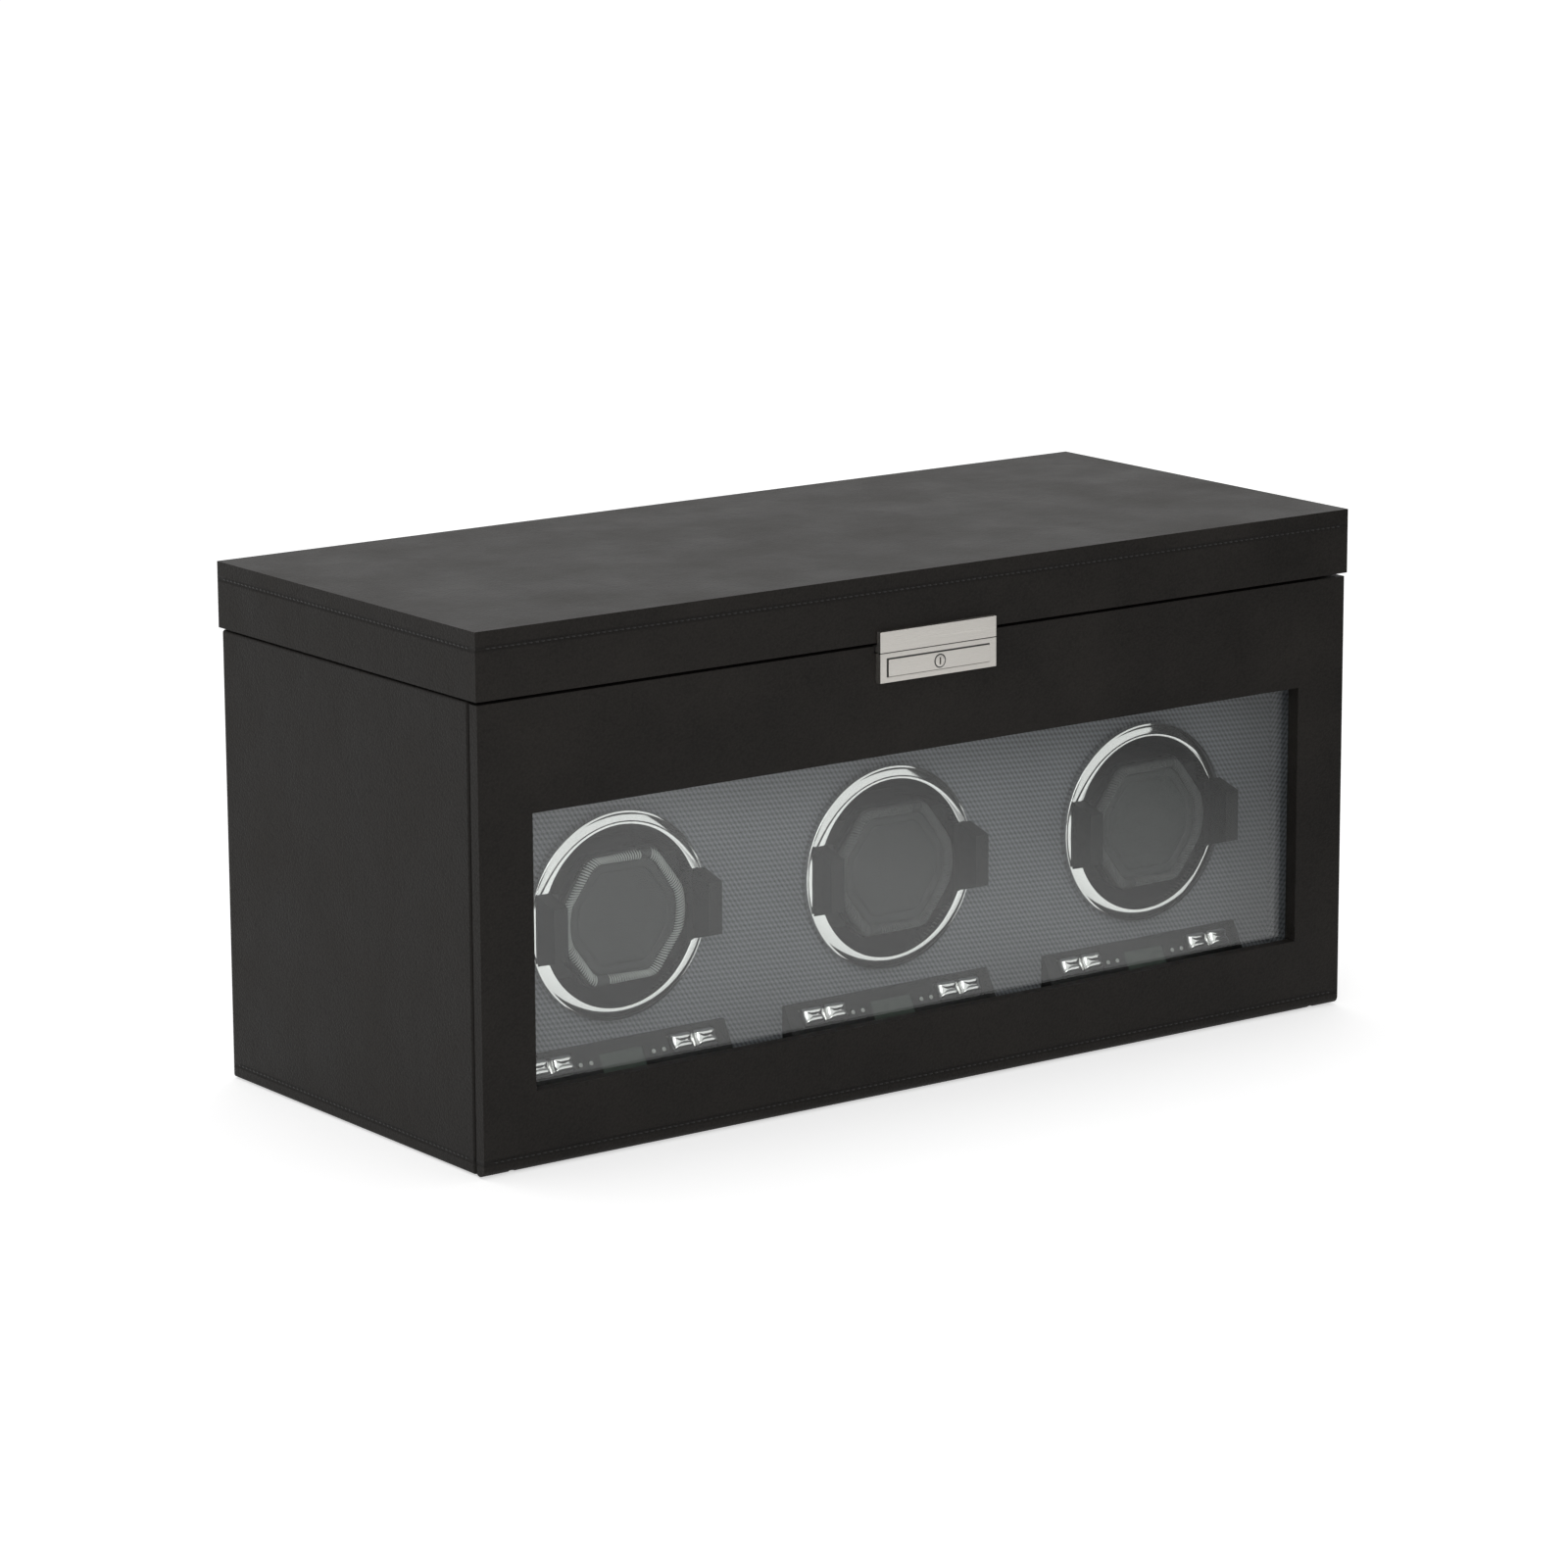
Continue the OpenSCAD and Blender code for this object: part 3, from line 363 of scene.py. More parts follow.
def brushed(name, base, roughness=0.3, grain=(0.025, 9, 9)):
    """Brushed metal: fine scratches along X"""
    f = Finish(name, metallic=1.0, roughness=roughness, anisotropic=0.4)
    hair = f.noise(1.0, 3, 0.6, f.place(grain))
    blot = f.noise(0.05, 2)
    f.set("Base Color", f.tint(f.sum(hair, 0.7, blot, 0.3), base, 0.93, 1.05))
    f.mottle(hair, 0.3, 0.7, roughness, (0.06, 0.1))
    f.set("Normal", f.bump(hair, 0.000006, 0.5))
    return f.material


def polished(name, base, roughness=0.05):
    """Bright plating with faint handling marks"""
    f = Finish(name, metallic=1.0, roughness=roughness)
    haze = f.noise(0.08, 4, 0.6)
    hair = f.noise(2.0, 2)
    f.set("Base Color", f.tint(haze, base, 0.93, 1.04))
    f.set("Roughness", f.span(f.sum(haze, 1, hair, 0.25), 0.4, 0.85, roughness * 0.7, roughness * 2.0))
    return f.material


def moulded(name, base, roughness=0.42, specular=0.5, texture=0.00002, scale=0.9):
    """Moulded plastic: a fine spark-eroded texture and slight cloudiness"""
    f = Finish(name, roughness=roughness, specular_ior_level=specular)
    spark = f.noise(scale, 2, 0.55)
    cloud = f.noise(0.035, 3)
    f.set("Base Color", f.tint(f.sum(spark, 0.4, cloud, 0.6), base, 0.8, 1.25))
    f.mottle(cloud, 0.3, 0.7, roughness, (0.05, 0.07))
    f.set("Normal", f.bump(spark, texture, 0.6))
    return f.material


def circuit(name, base):
    """Lacquered circuit board with tinned tracks"""
    f = Finish(name, roughness=0.32, specular_ior_level=0.5)
    blocks = f.add(
        "ShaderNodeTexBrick", {"offset": 0.35},
        {
            "Vector": f.place(), "Scale": 0.28, "Mortar Size": 0.035, "Mortar Smooth": 0.1,
            "Brick Width": 0.9, "Row Height": 0.34,
        },
        1,
    )
    track = f.math("GREATER_THAN", blocks, 0.5)
    grain = f.noise(0.4, 3)
    f.set("Base Color", f.mix(f.math("MULTIPLY", track, 0.65), [c * 1.1 for c in base], (0.16, 0.22, 0.10)))
    f.set("Roughness", f.span(grain, 0.3, 0.7, 0.25, 0.42))
    f.set("Normal", f.bump(track, 0.00005, 0.6))
    return f.material


def clear_glass(name):
    """Clear pane that lets the lamps through, with the faintest film of dust"""
    f = Finish(name, roughness=0.0, transmission_weight=1.0, ior=1.5)
    film = f.noise(0.03, 4, 0.6)
    f.set("Base Color", f.mix(film, (0.955, 0.975, 0.965), (0.965, 0.985, 0.975)))
    lit = ray_kinds(f.tree, "Is Shadow Ray", "Is Diffuse Ray")
    through = f.add("ShaderNodeBsdfTransparent", inputs={"Color": (0.90, 0.92, 0.91, 1)})
    pane = f.add("ShaderNodeMixShader", inputs={0: lit, 1: f.shader.outputs[0], 2: through})
    f.tree.links.new(pane, f.out.inputs[0])
    return f.material


def yarn(name, base):
    """Twisted thread"""
    f = Finish(name, roughness=0.6, specular_ior_level=0.3, sheen_weight=0.2)
    ply = f.noise(2.2, 2, 0.5)
    f.set("Base Color", f.tint(ply, base, 0.7, 1.35))
    f.set("Normal", f.bump(ply, 0.0001, 0.7))
    return f.material


def screen(name, base):
    """Display glass over a grey-green ground, with the faint grid of its cells"""
    f = Finish(name, roughness=0.12, specular_ior_level=0.2)
    grid = f.add("ShaderNodeTexChecker", inputs={"Vector": f.place(), "Scale": 1.6}, out=1)
    ground = f.noise(0.12, 2)
    f.set("Base Color", f.tint(f.sum(grid, 0.12, ground, 0.8), base, 0.82, 1.2))
    f.set("Roughness", f.span(ground, 0.3, 0.7, 0.08, 0.16))
    return f.material


_finishes = {}


def finish_for(slot, context):
    """The finish of one material slot, made once"""
    if slot in _finishes:
        return _finishes[slot]
    c, s = context.scene.winder_box_colours, context.scene.winder_box_sizes
    made = {
        "black_leather": lambda: leather("black_leather_grained", c.leather, s.grain),
        "lid_leather": lambda: leather(
            "black_leather_lid", c.leather, s.grain, seam=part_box("lid_shell")[1].z - s.lid_stitch_drop
        ),
        "foot_leather": lambda: leather("black_leather_foot", c.leather, s.grain, seam=s.base_stitch_rise),
        "grey_cloth": lambda: weave("grey_cloth_woven", c.cloth, s.weave, 1.15),
        "suede": lambda: napped("suede_brushed", c.suede),
        "felt": lambda: napped("felt_pressed", (0.02, 0.02, 0.02), 0.2, 0.2, 0.0002),
        "pad_leather": lambda: leather("pad_leather_soft", c.pad, s.grain * 0.8, 0.6, 0.2, 0.00003),
        "drum_plastic": lambda: moulded("drum_plastic_moulded", [0.6 * v for v in c.plastic], 0.46, 0.12),
        "smoke_plastic": lambda: moulded("smoke_plastic_gloss", c.smoke, 0.13, 0.12, 0.0000012, 0.6),
        "black_plastic": lambda: moulded("black_plastic_moulded", c.plastic, 0.4, 0.5),
        "display": lambda: screen("display_glass", c.display),
        "lens": lambda: moulded("indicator_lens", c.lens, 0.3, 0.5),
        "nickel": lambda: brushed("nickel_brushed", c.nickel),
        "chrome": lambda: polished("chrome_bright", c.chrome),
        "motor_steel": lambda: brushed("motor_steel_plated", c.steel, 0.38, (0.5, 0.5, 0.5)),
        "pin_steel": lambda: brushed("pin_steel_drawn", c.steel, 0.25, (0.05, 3, 3)),
        "brass": lambda: brushed("brass_turned", c.brass, 0.3, (1, 0.2, 1)),
        "nylon": lambda: moulded("nylon_moulded", c.nylon, 0.45, 0.4),
        "circuit_board": lambda: circuit("circuit_board_lacquered", c.board),
        "glass": lambda: clear_glass("glass_clear"),
        "thread": lambda: yarn("thread_black", c.thread),
        "pad_thread": lambda: yarn("thread_painted_lit", c.pad_thread),
        "pad_thread_dark": lambda: yarn("thread_grey", [1.6 * v for v in c.pad]),
    }
    _finishes[slot] = made[slot]()
    return _finishes[slot]


# ---- making pieces ----


def circle(count):
    """Points evenly round a circle of radius one"""
    turns = [2 * math.pi * k / count for k in range(count)]
    return [(math.cos(t), math.sin(t)) for t in turns]


def oblong(lo, hi, left, right, below, above):
    """Corners, seen from the front, of a box grown by so much on each side"""
    x, far_x, z, far_z = lo.x - left, hi.x + right, lo.z - below, hi.z + above
    return (x, z), (far_x, z), (far_x, far_z), (x, far_z)


def surface(mesh):
    """A mesh as a tree that rays can be cast at"""
    return BVHTree.FromPolygons([v.co for v in mesh.vertices], [list(p.vertices) for p in mesh.polygons])


def add_object(context, name, data):
    """A new object in the scene"""
    obj = bpy.data.objects.new(name, data)
    context.scene.collection.objects.link(obj)
    return obj


def mesh_from(name, bm):
    """A mesh made from a bmesh, which is then let go"""
    mesh = bpy.data.meshes.new(name)
    bm.to_mesh(mesh)
    bm.free()
    return mesh


def object_from(name, bm, body, slot, context, material=None, smooth=True):
    """A new piece from a bmesh, with its finish, riding on a body"""
    bmesh.ops.recalc_face_normals(bm, faces=bm.faces)
    mesh = mesh_from(name, bm)
    for face in mesh.polygons:
        face.use_smooth = smooth
    obj = add_object(context, name, mesh)
    mesh.materials.append(material or finish_for(slot, context))
    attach(obj, body)
    return obj


def even_shading(obj, weight=100):
    """Keeps flat faces flat where they meet a rounded edge"""
    obj.modifiers.new("Flat faces", "WEIGHTED_NORMAL").weight = weight


def soften(context, obj):
    """Divides a piece's faces once, into a smooth surface"""
    smooth = obj.modifiers.new("Soft surface", "SUBSURF")
    smooth.levels = smooth.render_levels = 1
    apply_modifiers(context, obj)


def dress(context, node, rounding=0.0, segments=3, finish=None):
    """Gives a CAD node its finish and, where asked, rounded edges"""
    obj = frame["nodes"][node]
    for place in obj.material_slots:
        place.material = finish_for(finish or place.material.name.split(".")[0], context)
    if rounding > 0:
        weld = obj.modifiers.new("Joined corners", "WELD")
        weld.merge_threshold = 0.00001
        bevel = obj.modifiers.new("Rounded edges", "BEVEL")
        bevel.width = rounding
        bevel.segments = segments
        bevel.limit_method = "ANGLE"
        bevel.angle_limit = math.radians(35)
        bevel.use_clamp_overlap = True
        bevel.loop_slide = False
        even_shading(obj)


def loft(bm, rings, closed=True, cap=False):
    """Joins rings of points by quads; the rings are closed, and the run of rings may be too"""
    rows = [[bm.verts.new(p) for p in ring] for ring in rings]
    count = len(rows[0])
    last = len(rows) if closed else len(rows) - 1
    for i in range(last):
        a, b = rows[i], rows[(i + 1) % len(rows)]
        for k in range(count):
            bm.faces.new((a[k], a[(k + 1) % count], b[(k + 1) % count], b[k]))
    if cap:
        bm.faces.new(rows[0][::-1])
        bm.faces.new(rows[-1])
    return rows


def tube(bm, path, radius, sides, closed, normal):
    """A round tube along a path that never runs along the normal"""
    rings = []
    count = len(path)
    for i, p in enumerate(path):
        before = path[(i - 1) % count] if closed or i else path[i]
        after = path[(i + 1) % count] if closed or i < count - 1 else path[i]
        along = (after - before).normalized()
        out = along.cross(normal).normalized()
        up = out.cross(along).normalized()
        rings.append([p + radius * (c * out + n * up) for c, n in circle(sides)])
    loft(bm, rings, closed, not closed)


def stitches(bm, start, end, face, sizes):
    """A row of stitches from start to end on a flat face: rounded lengths of thread, each a little askew"""
    along = (end - start).normalized()
    across = along.cross(face).normalized()
    count = max(1, round((end - start).length / sizes.stitch_pitch))
    pitch = (end - start).length / count
    line = (along + across * 0.10).normalized()
    side = line.cross(face).normalized()
    for i in range(count):
        middle = start + along * pitch * (i + 0.5) - face * STITCH_SINK
        rings = []
        for r in (-1.0, -0.86, -0.45, 0.0, 0.45, 0.86, 1.0):
            centre = middle + line * r * sizes.stitch_length / 2
            radius = sizes.stitch_width / 2 * math.sqrt(max(0.05, 1 - r * r))
            rings.append([centre + radius * (c * side + 0.8 * n * face) for c, n in circle(6)])
        loft(bm, rings, False, True)


def settle_cloth(context, obj, pressure, cap, pin=None):
    """Swells a closed piece like a filled cushion, then keeps the result within cap of where it began"""
    rest = [v.co.copy() for v in obj.data.vertices]
    scene = context.scene
    cloth = obj.modifiers.new("Filling", "CLOTH")
    st = cloth.settings
    st.quality = 6
    st.mass = 0.3
    st.use_pressure = True
    st.uniform_pressure_force = pressure
    st.tension_stiffness = st.compression_stiffness = 15
    st.shear_stiffness = 5
    st.bending_stiffness = 0.5
    st.effector_weights.gravity = 0
    if pin:
        st.vertex_group_mass = pin
    cloth.point_cache.frame_start = 1
    cloth.point_cache.frame_end = CLOTH_FRAMES
    for number in range(1, CLOTH_FRAMES + 1):
        scene.frame_set(number)
    swollen = obj.evaluated_get(context.evaluated_depsgraph_get()).to_mesh()
    moved = [v.co.copy() for v in swollen.vertices]
    obj.modifiers.remove(cloth)
    scene.frame_set(1)
    for vertex, before, after in zip(obj.data.vertices, rest, moved):
        shift = after - before
        if shift.length > cap:
            shift *= cap / shift.length
        vertex.co = before + shift
    obj.data.update()


def apply_modifiers(context, obj):
    """Makes a piece's modifiers part of its mesh"""
    mesh = bpy.data.meshes.new_from_object(obj.evaluated_get(context.evaluated_depsgraph_get()))
    obj.modifiers.clear()
    old = obj.data
    obj.data = mesh
    bpy.data.meshes.remove(old)


# ---- operators: the case ----


class WINDERBOX_OT_leather_case(bpy.types.Operator):
    """Wraps the case, the door and the lid in grained black leather with rounded edges"""

    bl_idname = "winderbox.leather_case"
    bl_label = "Leather case"

    def execute(self, context):
        r = context.scene.winder_box_sizes.edge_round
        dress(context, "lid_shell", r, 4, finish="lid_leather")
        for side in SIDES:
            dress(context, f"{side}_side", r * 0.8, 4, finish="foot_leather")
        dress(context, "door_panel", r * 0.8, 4, finish="foot_leather")
        dress(context, "back_board", r * 0.35, 2)
        dress(context, "front_rail", r * 0.8)
        dress(context, "glass_retainer", 0.0004, 2)
        dress(context, "base_board", 0.0005, 2)
        return {"FINISHED"}


class WINDERBOX_OT_stitching(bpy.types.Operator):
    """Sews the stitching round the lid and along the foot of the case"""

    bl_idname = "winderbox.stitching"
    bl_label = "Stitching"

    def execute(self, context):
        s = context.scene.winder_box_sizes
        runs = {
            "lid_stitching": ("lid", "lid_shell", "z", True),
            "left_side_stitching": ("case", "left_side", "left", False),
            "right_side_stitching": ("case", "right_side", "right", False),
            "door_stitching": ("door", "door_panel", "front", False),
        }
        for name, (body, node, where, high) in runs.items():
            lo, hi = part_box(node)
            z = hi.z - s.lid_stitch_drop if high else s.base_stitch_rise
            x, y = lo.x + STITCH_INSET, lo.y + STITCH_INSET
            far_x, far_y = hi.x - STITCH_INSET, hi.y - STITCH_INSET
            faces = {
                "front": (Vector((x, lo.y, z)), Vector((far_x, lo.y, z)), FRONT),
                "back": (Vector((x, hi.y, z)), Vector((far_x, hi.y, z)), -FRONT),
                "left": (Vector((lo.x, y, z)), Vector((lo.x, far_y, z)), -RIGHT),
                "right": (Vector((hi.x, y, z)), Vector((hi.x, far_y, z)), RIGHT),
            }
            bm = bmesh.new()
            for key in faces if where == "z" else (where,):
                stitches(bm, *faces[key], s)
            object_from(name, bm, body, "black_leather", context, finish_for("thread", context))
        return {"FINISHED"}


class WINDERBOX_OT_lining(bpy.types.Operator):
    """Lines the winder compartment with woven cloth and the tray with suede"""

    bl_idname = "winderbox.lining"
    bl_label = "Lining"

    def execute(self, context):
        for node in ("winder_fascia", "compartment_liner"):
            dress(context, node, 0.0004, 2)
        dress(context, "storage_tray", 0.0007)
        dress(context, "storage_deck", 0.0003, 2)
        dress(context, "base_felt", 0.0002, 1)
        return {"FINISHED"}


class WINDERBOX_OT_lid_padding(bpy.types.Operator):
    """Makes the padded lining of the lid, sewn into channels"""

    bl_idname = "winderbox.lid_padding"
    bl_label = "Lid padding"

    def execute(self, context):
        s = context.scene.winder_box_sizes
        lo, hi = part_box("lid_lining")
        across, deep = 200, 60
        channels = s.lining_channels
        bm = bmesh.new()

        def crown(u, v):
            """Height of the padding: full between the seams, pulled in along them and at the edges"""
            seam = abs(math.sin(math.pi * u * channels)) ** 0.45
            edge = min(1.0, min(v, 1 - v) * 14) ** 0.5 * min(1.0, min(u, 1 - u) * 34) ** 0.5
            wrinkle = 0.10 * noise.noise(Vector((u * 46, v * 15, 0.5)))
            return s.lining_crown * (seam * (0.9 + wrinkle) * edge)

        top, thinnest = hi.z - 0.0004, 0.0016
        rows = {}
        for high in (0, 1):
            for i in range(across + 1):
                for j in range(deep + 1):
                    u, v = i / across, j / deep
                    z = top if high else top - thinnest - crown(u, v)
                    spot = (lo.x + (hi.x - lo.x) * u, lo.y + (hi.y - lo.y) * v, z)
                    rows[high, i, j] = bm.verts.new(spot)
        for i in range(across):
            for j in range(deep):
                for high in (0, 1):
                    quad = [rows[high, i + a, j + b] for a, b in ((0, 0), (1, 0), (1, 1), (0, 1))]
                    bm.faces.new(quad if high else quad[::-1])
        rim = [(i, 0) for i in range(across)] + [(across, j) for j in range(deep)]
        rim += [(across - i, deep) for i in range(across)] + [(0, deep - j) for j in range(deep)]
        for k, (i, j) in enumerate(rim):
            ni, nj = rim[(k + 1) % len(rim)]
            bm.faces.new((rows[0, i, j], rows[0, ni, nj], rows[1, ni, nj], rows[1, i, j]))
        pad = object_from("lid_lining_padded", bm, "lid", "suede", context)
        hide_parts("lid_lining")
        return {"FINISHED"}


class WINDERBOX_OT_glazing(bpy.types.Operator):
    """Glazes the door"""

    bl_idname = "winderbox.glazing"
    bl_label = "Glazing"

    def execute(self, context):
        dress(context, "door_glass")
        return {"FINISHED"}


class WINDERBOX_OT_lock(bpy.types.Operator):
    """Finishes the lock's plates, push button and cylinder in brushed nickel, and lays thin black pieces of
    painted shade in their gaps
    """

    bl_idname = "winderbox.lock"
    bl_label = "Lock"

    def execute(self, context):
        bevels = {"plate": 0.00018, "button": 0.0002, "cylinder": 0.00015}
        for name, bevel in bevels.items():
            dress(context, f"lock_{name}", bevel)
        dress(context, "hasp_plate", bevels["plate"])
        lo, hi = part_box("lock_plate")
        low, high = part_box("lock_button")
        turn_lo, turn_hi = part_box("lock_cylinder")
        # painted shadow: the black frame round the button is widest at its top and left, where a shadow
        # falls; at the right and bottom it only fills the gap
        proud, gap, left_shadow_width, top_shadow_width = 0.00004, 0.00018, 0.0006, 0.00055
        slot = oblong(low, high, left_shadow_width, gap, gap, top_shadow_width)
        left_play, play, thick = 0.00005, 0.00003, 0.0002
        button = oblong(low, high, left_play, play, play, play)
        front = lo.y - proud
        self.edge(context, "lock_slot_painted_shade", "door", slot, button, front, front + thick)
        # painted shade: a black strip set in the gap between the lock plate and the hasp plate
        top = Vector((lo.x, lo.y, hi.z))
        below, above, near, far = 0.0001, 0.00028, 0.0003, 0.0012
        strip = oblong(top, hi, 0, 0, below, above)
        self.edge(context, "lock_plate_painted_shade", "door", strip, None, lo.y + near, lo.y + far)
        x, z = (turn_lo.x + turn_hi.x) / 2, (turn_lo.z + turn_hi.z) / 2
        # painted shade: a black ring round the cylinder, wider than its bore
        shade_outer_r, cylinder_r = 0.00275, 0.00226
        wide, narrow = ([(x + r * c, z + r * n) for c, n in circle(40)] for r in (shade_outer_r, cylinder_r))
        self.edge(context, "lock_cylinder_painted_shade", "lock_button", wide, narrow, low.y - proud, low.y + thick)
        return {"FINISHED"}

    def edge(self, context, name, body, outer, inner, front, back):
        """A thin black frame of painted shade in a gap of the lock, or a strip of painted shade where it has
        no inner outline
        """
        bm = bmesh.new()
        rings = [[Vector((x, y, z)) for x, z in outer] for y in (back, front)]
        if inner:
            rings += [[Vector((x, y, z)) for x, z in inner] for y in (front, back)]
        loft(bm, rings, bool(inner), not inner)
        object_from(name, bm, body, "nickel", context, finish_for("black_plastic", context), False)


class WINDERBOX_OT_hardware(bpy.types.Operator):
    """Finishes hinges, screws, pins, brackets, motors, boards and the power inlet"""

    bl_idname = "winderbox.hardware"
    bl_label = "Hardware"

    def execute(self, context):
        for node in ("case_hinge_leaves", "lid_hinge_leaves", "case_screws", "lid_screws", "door_brackets"):
            dress(context, node, 0.0002, 2)
        plain = ("hinge_pins", "door_pins", "drive_plate", "drum_bushes", "gear_motors")
        for node in (*plain, "circuit_boards", "power_board", "dc_jack"):
            dress(context, node)
        return {"FINISHED"}


# ---- operators: the winders ----


class WINDERBOX_OT_drums(bpy.types.Operator):
    """Finishes the drums, their chrome bezels, the pinions and the cuffs"""

    bl_idname = "winderbox.drums"
    bl_label = "Drums"

    def execute(self, context):
        for i in WINDERS:
            dress(context, f"drum_{i}")
            self.bezel(context, i)
            dress(context, f"pinion_{i}")
            dress(context, f"cuff_frame_{i}", 0.0005)
        return {"FINISHED"}

    def bezel(self, context, i):
        """A bezel turned with a crowned face, nearly flat at the mouth and steeper towards its rounded rim"""
        lo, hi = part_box(f"bezel_{i}")
        centre = (lo + hi) / 2
        outer, lip, rim = (hi.x - lo.x) / 2, 0.0002, 0.0009
        inner = outer - BEZEL_WIDTH
        profile = [(inner, hi.y), (inner, lo.y + lip)]
        profile += [(inner + 0.3 * lip, lo.y + 0.3 * lip), (inner + lip, lo.y)]
        depth, steps = 0.0, 22
        step = (outer - rim - inner - lip) / steps
        at_mouth, more_at_rim, bend = 3, 24, 1.3
        for k in range(steps):
            fall = at_mouth + more_at_rim * ((k + 0.5) / steps) ** bend
            depth += step * math.tan(math.radians(fall))
            profile.append((inner + lip + step * (k + 1), lo.y + depth))
        for fall in (55, 42, 28, 14, 0):
            a = math.radians(fall)
            profile.append((outer - rim + rim * math.cos(a), lo.y + depth + rim * (0.88 - math.sin(a))))
        profile.append((outer, hi.y))
        bm = bmesh.new()
        round_face = circle(160)
        rings = [[Vector((centre.x + r * c, y, centre.z + r * n)) for c, n in round_face] for r, y in profile]
        loft(bm, rings)
        ring = object_from(f"bezel_{i}_ring", bm, f"drum_{i}", "chrome", context)
        even_shading(ring)
        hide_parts(f"bezel_{i}")


def pad_outline(half_w, half_h, corner, steps):
    """Points of a pad's outline about its middle: round sides, straight ends and flattened corners"""
    lean = math.radians(36.5)
    points = []
    for x, z in circle(steps):
        reach = min(half_w, half_h / max(1e-6, abs(z)))
        for a in (lean, -lean):
            flat = abs(x * math.cos(a) + z * math.sin(a))
            reach = min(reach, corner / max(1e-6, flat))
        points.append((x * reach, z * reach))
    return points


class WINDERBOX_OT_cuff_pads(bpy.types.Operator):
    """Makes the padded faces of the cuffs, swollen between their seams, each with a stitched border"""

    bl_idname = "winderbox.cuff_pads"
    bl_label = "Cuff pads"

    def execute(self, context):
        s = context.scene.winder_box_sizes
        steps = 112
        for i in WINDERS:
            lo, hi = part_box(f"cuff_pad_{i}")
            middle = (lo + hi) / 2
            half_w, half_h = (hi.x - lo.x) / 2, (hi.z - lo.z) / 2
            corner = half_w - 0.0014
            trim = 0.992
            outline = [(x * trim, z * trim) for x, z in pad_outline(half_w, half_h, corner, steps)]
            border, inner = 1 - s.pad_border / half_w, 1 - s.pad_inner / half_w
            fronts = [
                1.0, 0.985, 0.955, 0.92, 0.885, border + 0.01, border, border - 0.012, 0.81, 0.775, 0.74,
                inner + 0.008, inner, inner - 0.012, 0.66, 0.6, 0.53, 0.45, 0.36, 0.27, 0.18, 0.09,
            ]
            fronts = sorted(set(fronts), reverse=True)
            seams = {1.0, border, inner}
            roll, band, dome, sunk = 0.0013, 0.0003, 0.0005, 0.0005
            rise = {}
            for t in fronts:
                if t > border:
                    rise[t] = roll * math.sin(math.pi * (1 - t) / (1 - border)) ** 0.6
                elif t > inner:
                    rise[t] = band * math.sin(math.pi * (border - t) / (border - inner))
                else:
                    rise[t] = dome * (1 - (t / inner) ** 4)
            rise[inner] = rise[border] = -sunk
            face = lo.y + 0.0014
            back = hi.y - 0.0001
            bm = bmesh.new()
            rings = [[Vector((middle.x + x, back, middle.z + z)) for x, z in outline]]
            rings.append([Vector((middle.x + x, (back + face) / 2, middle.z + z)) for x, z in outline])
            for t in fronts:
                y = face - rise[t]
                rings.append([Vector((middle.x + x * t, y, middle.z + z * t)) for x, z in outline])
            rows = loft(bm, rings, False)
            tip = bm.verts.new((middle.x, face - dome, middle.z))
            for k in range(steps):
                bm.faces.new((rows[-1][k], rows[-1][(k + 1) % steps], tip))
            bm.faces.new(rows[0][::-1])
            held = [v for row in rows[:2] for v in row]
            held += [v for n, t in enumerate(fronts) if t in seams for v in rows[2 + n]]
            bm.verts.index_update()
            index = [v.index for v in held]
            pad = object_from(f"cuff_pad_{i}_soft", bm, f"cuff_{i}", "pad_leather", context)
            group = pad.vertex_groups.new(name="seams")
            group.add(index, 1.0, "REPLACE")
            settle_cloth(context, pad, 6.0, s.pad_puff, "seams")
            soften(context, pad)
            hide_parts(f"cuff_pad_{i}")
            self.border(context, i, pad, middle, outline, border)
        return {"FINISHED"}

    def border(self, context, i, pad, middle, outline, border):
        """Slanted stitches laid over the rolled border of a pad"""
        bm = bmesh.new()
        spots, count = [], len(outline)
        lengths = [math.dist(outline[k], outline[(k + 1) % count]) for k in range(count)]
        number = round(sum(lengths) / PAD_STITCH_PITCH)
        step, k, run = sum(lengths) / number, 0, 0.0
        for n in range(number):
            while run + lengths[k] < n * step:
                run += lengths[k]
                k += 1
            ratio = (n * step - run) / lengths[k]
            a, b = outline[k], outline[(k + 1) % count]
            spots.append((a[0] + (b[0] - a[0]) * ratio, a[1] + (b[1] - a[1]) * ratio))
        skin = surface(pad.data)
        above, slant = 0.02, 0.0018
        for x, z in spots:
            around = Vector((x, 0, z)).normalized().cross(FRONT)
            rings = []
            for t in (0.06, 0.22, 0.4, 0.6, 0.8, 0.94):
                scale = 1 - (1 - border) * t
                start = Vector((middle.x + x * scale, middle.y - above, middle.z + z * scale))
                touch = skin.ray_cast(start + around * slant * (t - 0.5), -FRONT)[0]
                if touch is None:
                    break
                centre = touch + FRONT * 0.00012
                thick = PAD_THREAD * math.sqrt(max(0.15, 1 - (2 * t - 1) ** 2))
                rings.append([centre + thick * (c * around + n * FRONT) for c, n in circle(5)])
            if len(rings) > 2:
                loft(bm, rings, False, True)
        # painted light: the first cuff is sewn with a lighter copy of the thread, as if lit; the others use
        # the pad's darker tone
        thread = finish_for("pad_thread" if i == 1 else "pad_thread_dark", context)
        object_from(f"cuff_pad_{i}_stitching", bm, f"cuff_{i}", "pad_leather", context, thread)


# ---- operators: the controls ----


def panel_frame():
    """The slope of the control panels: the ways down and out of it, and its top edge"""
    panel_lo, panel_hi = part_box("control_panels")
    tilt = math.atan2(*PANEL_SLOPE)
    down = Vector((0, -math.sin(tilt), -math.cos(tilt)))
    out = Vector((0, -math.cos(tilt), math.sin(tilt)))
    return down, out, Vector((0, panel_lo.y + PANEL_SLOPE[0], panel_hi.z))


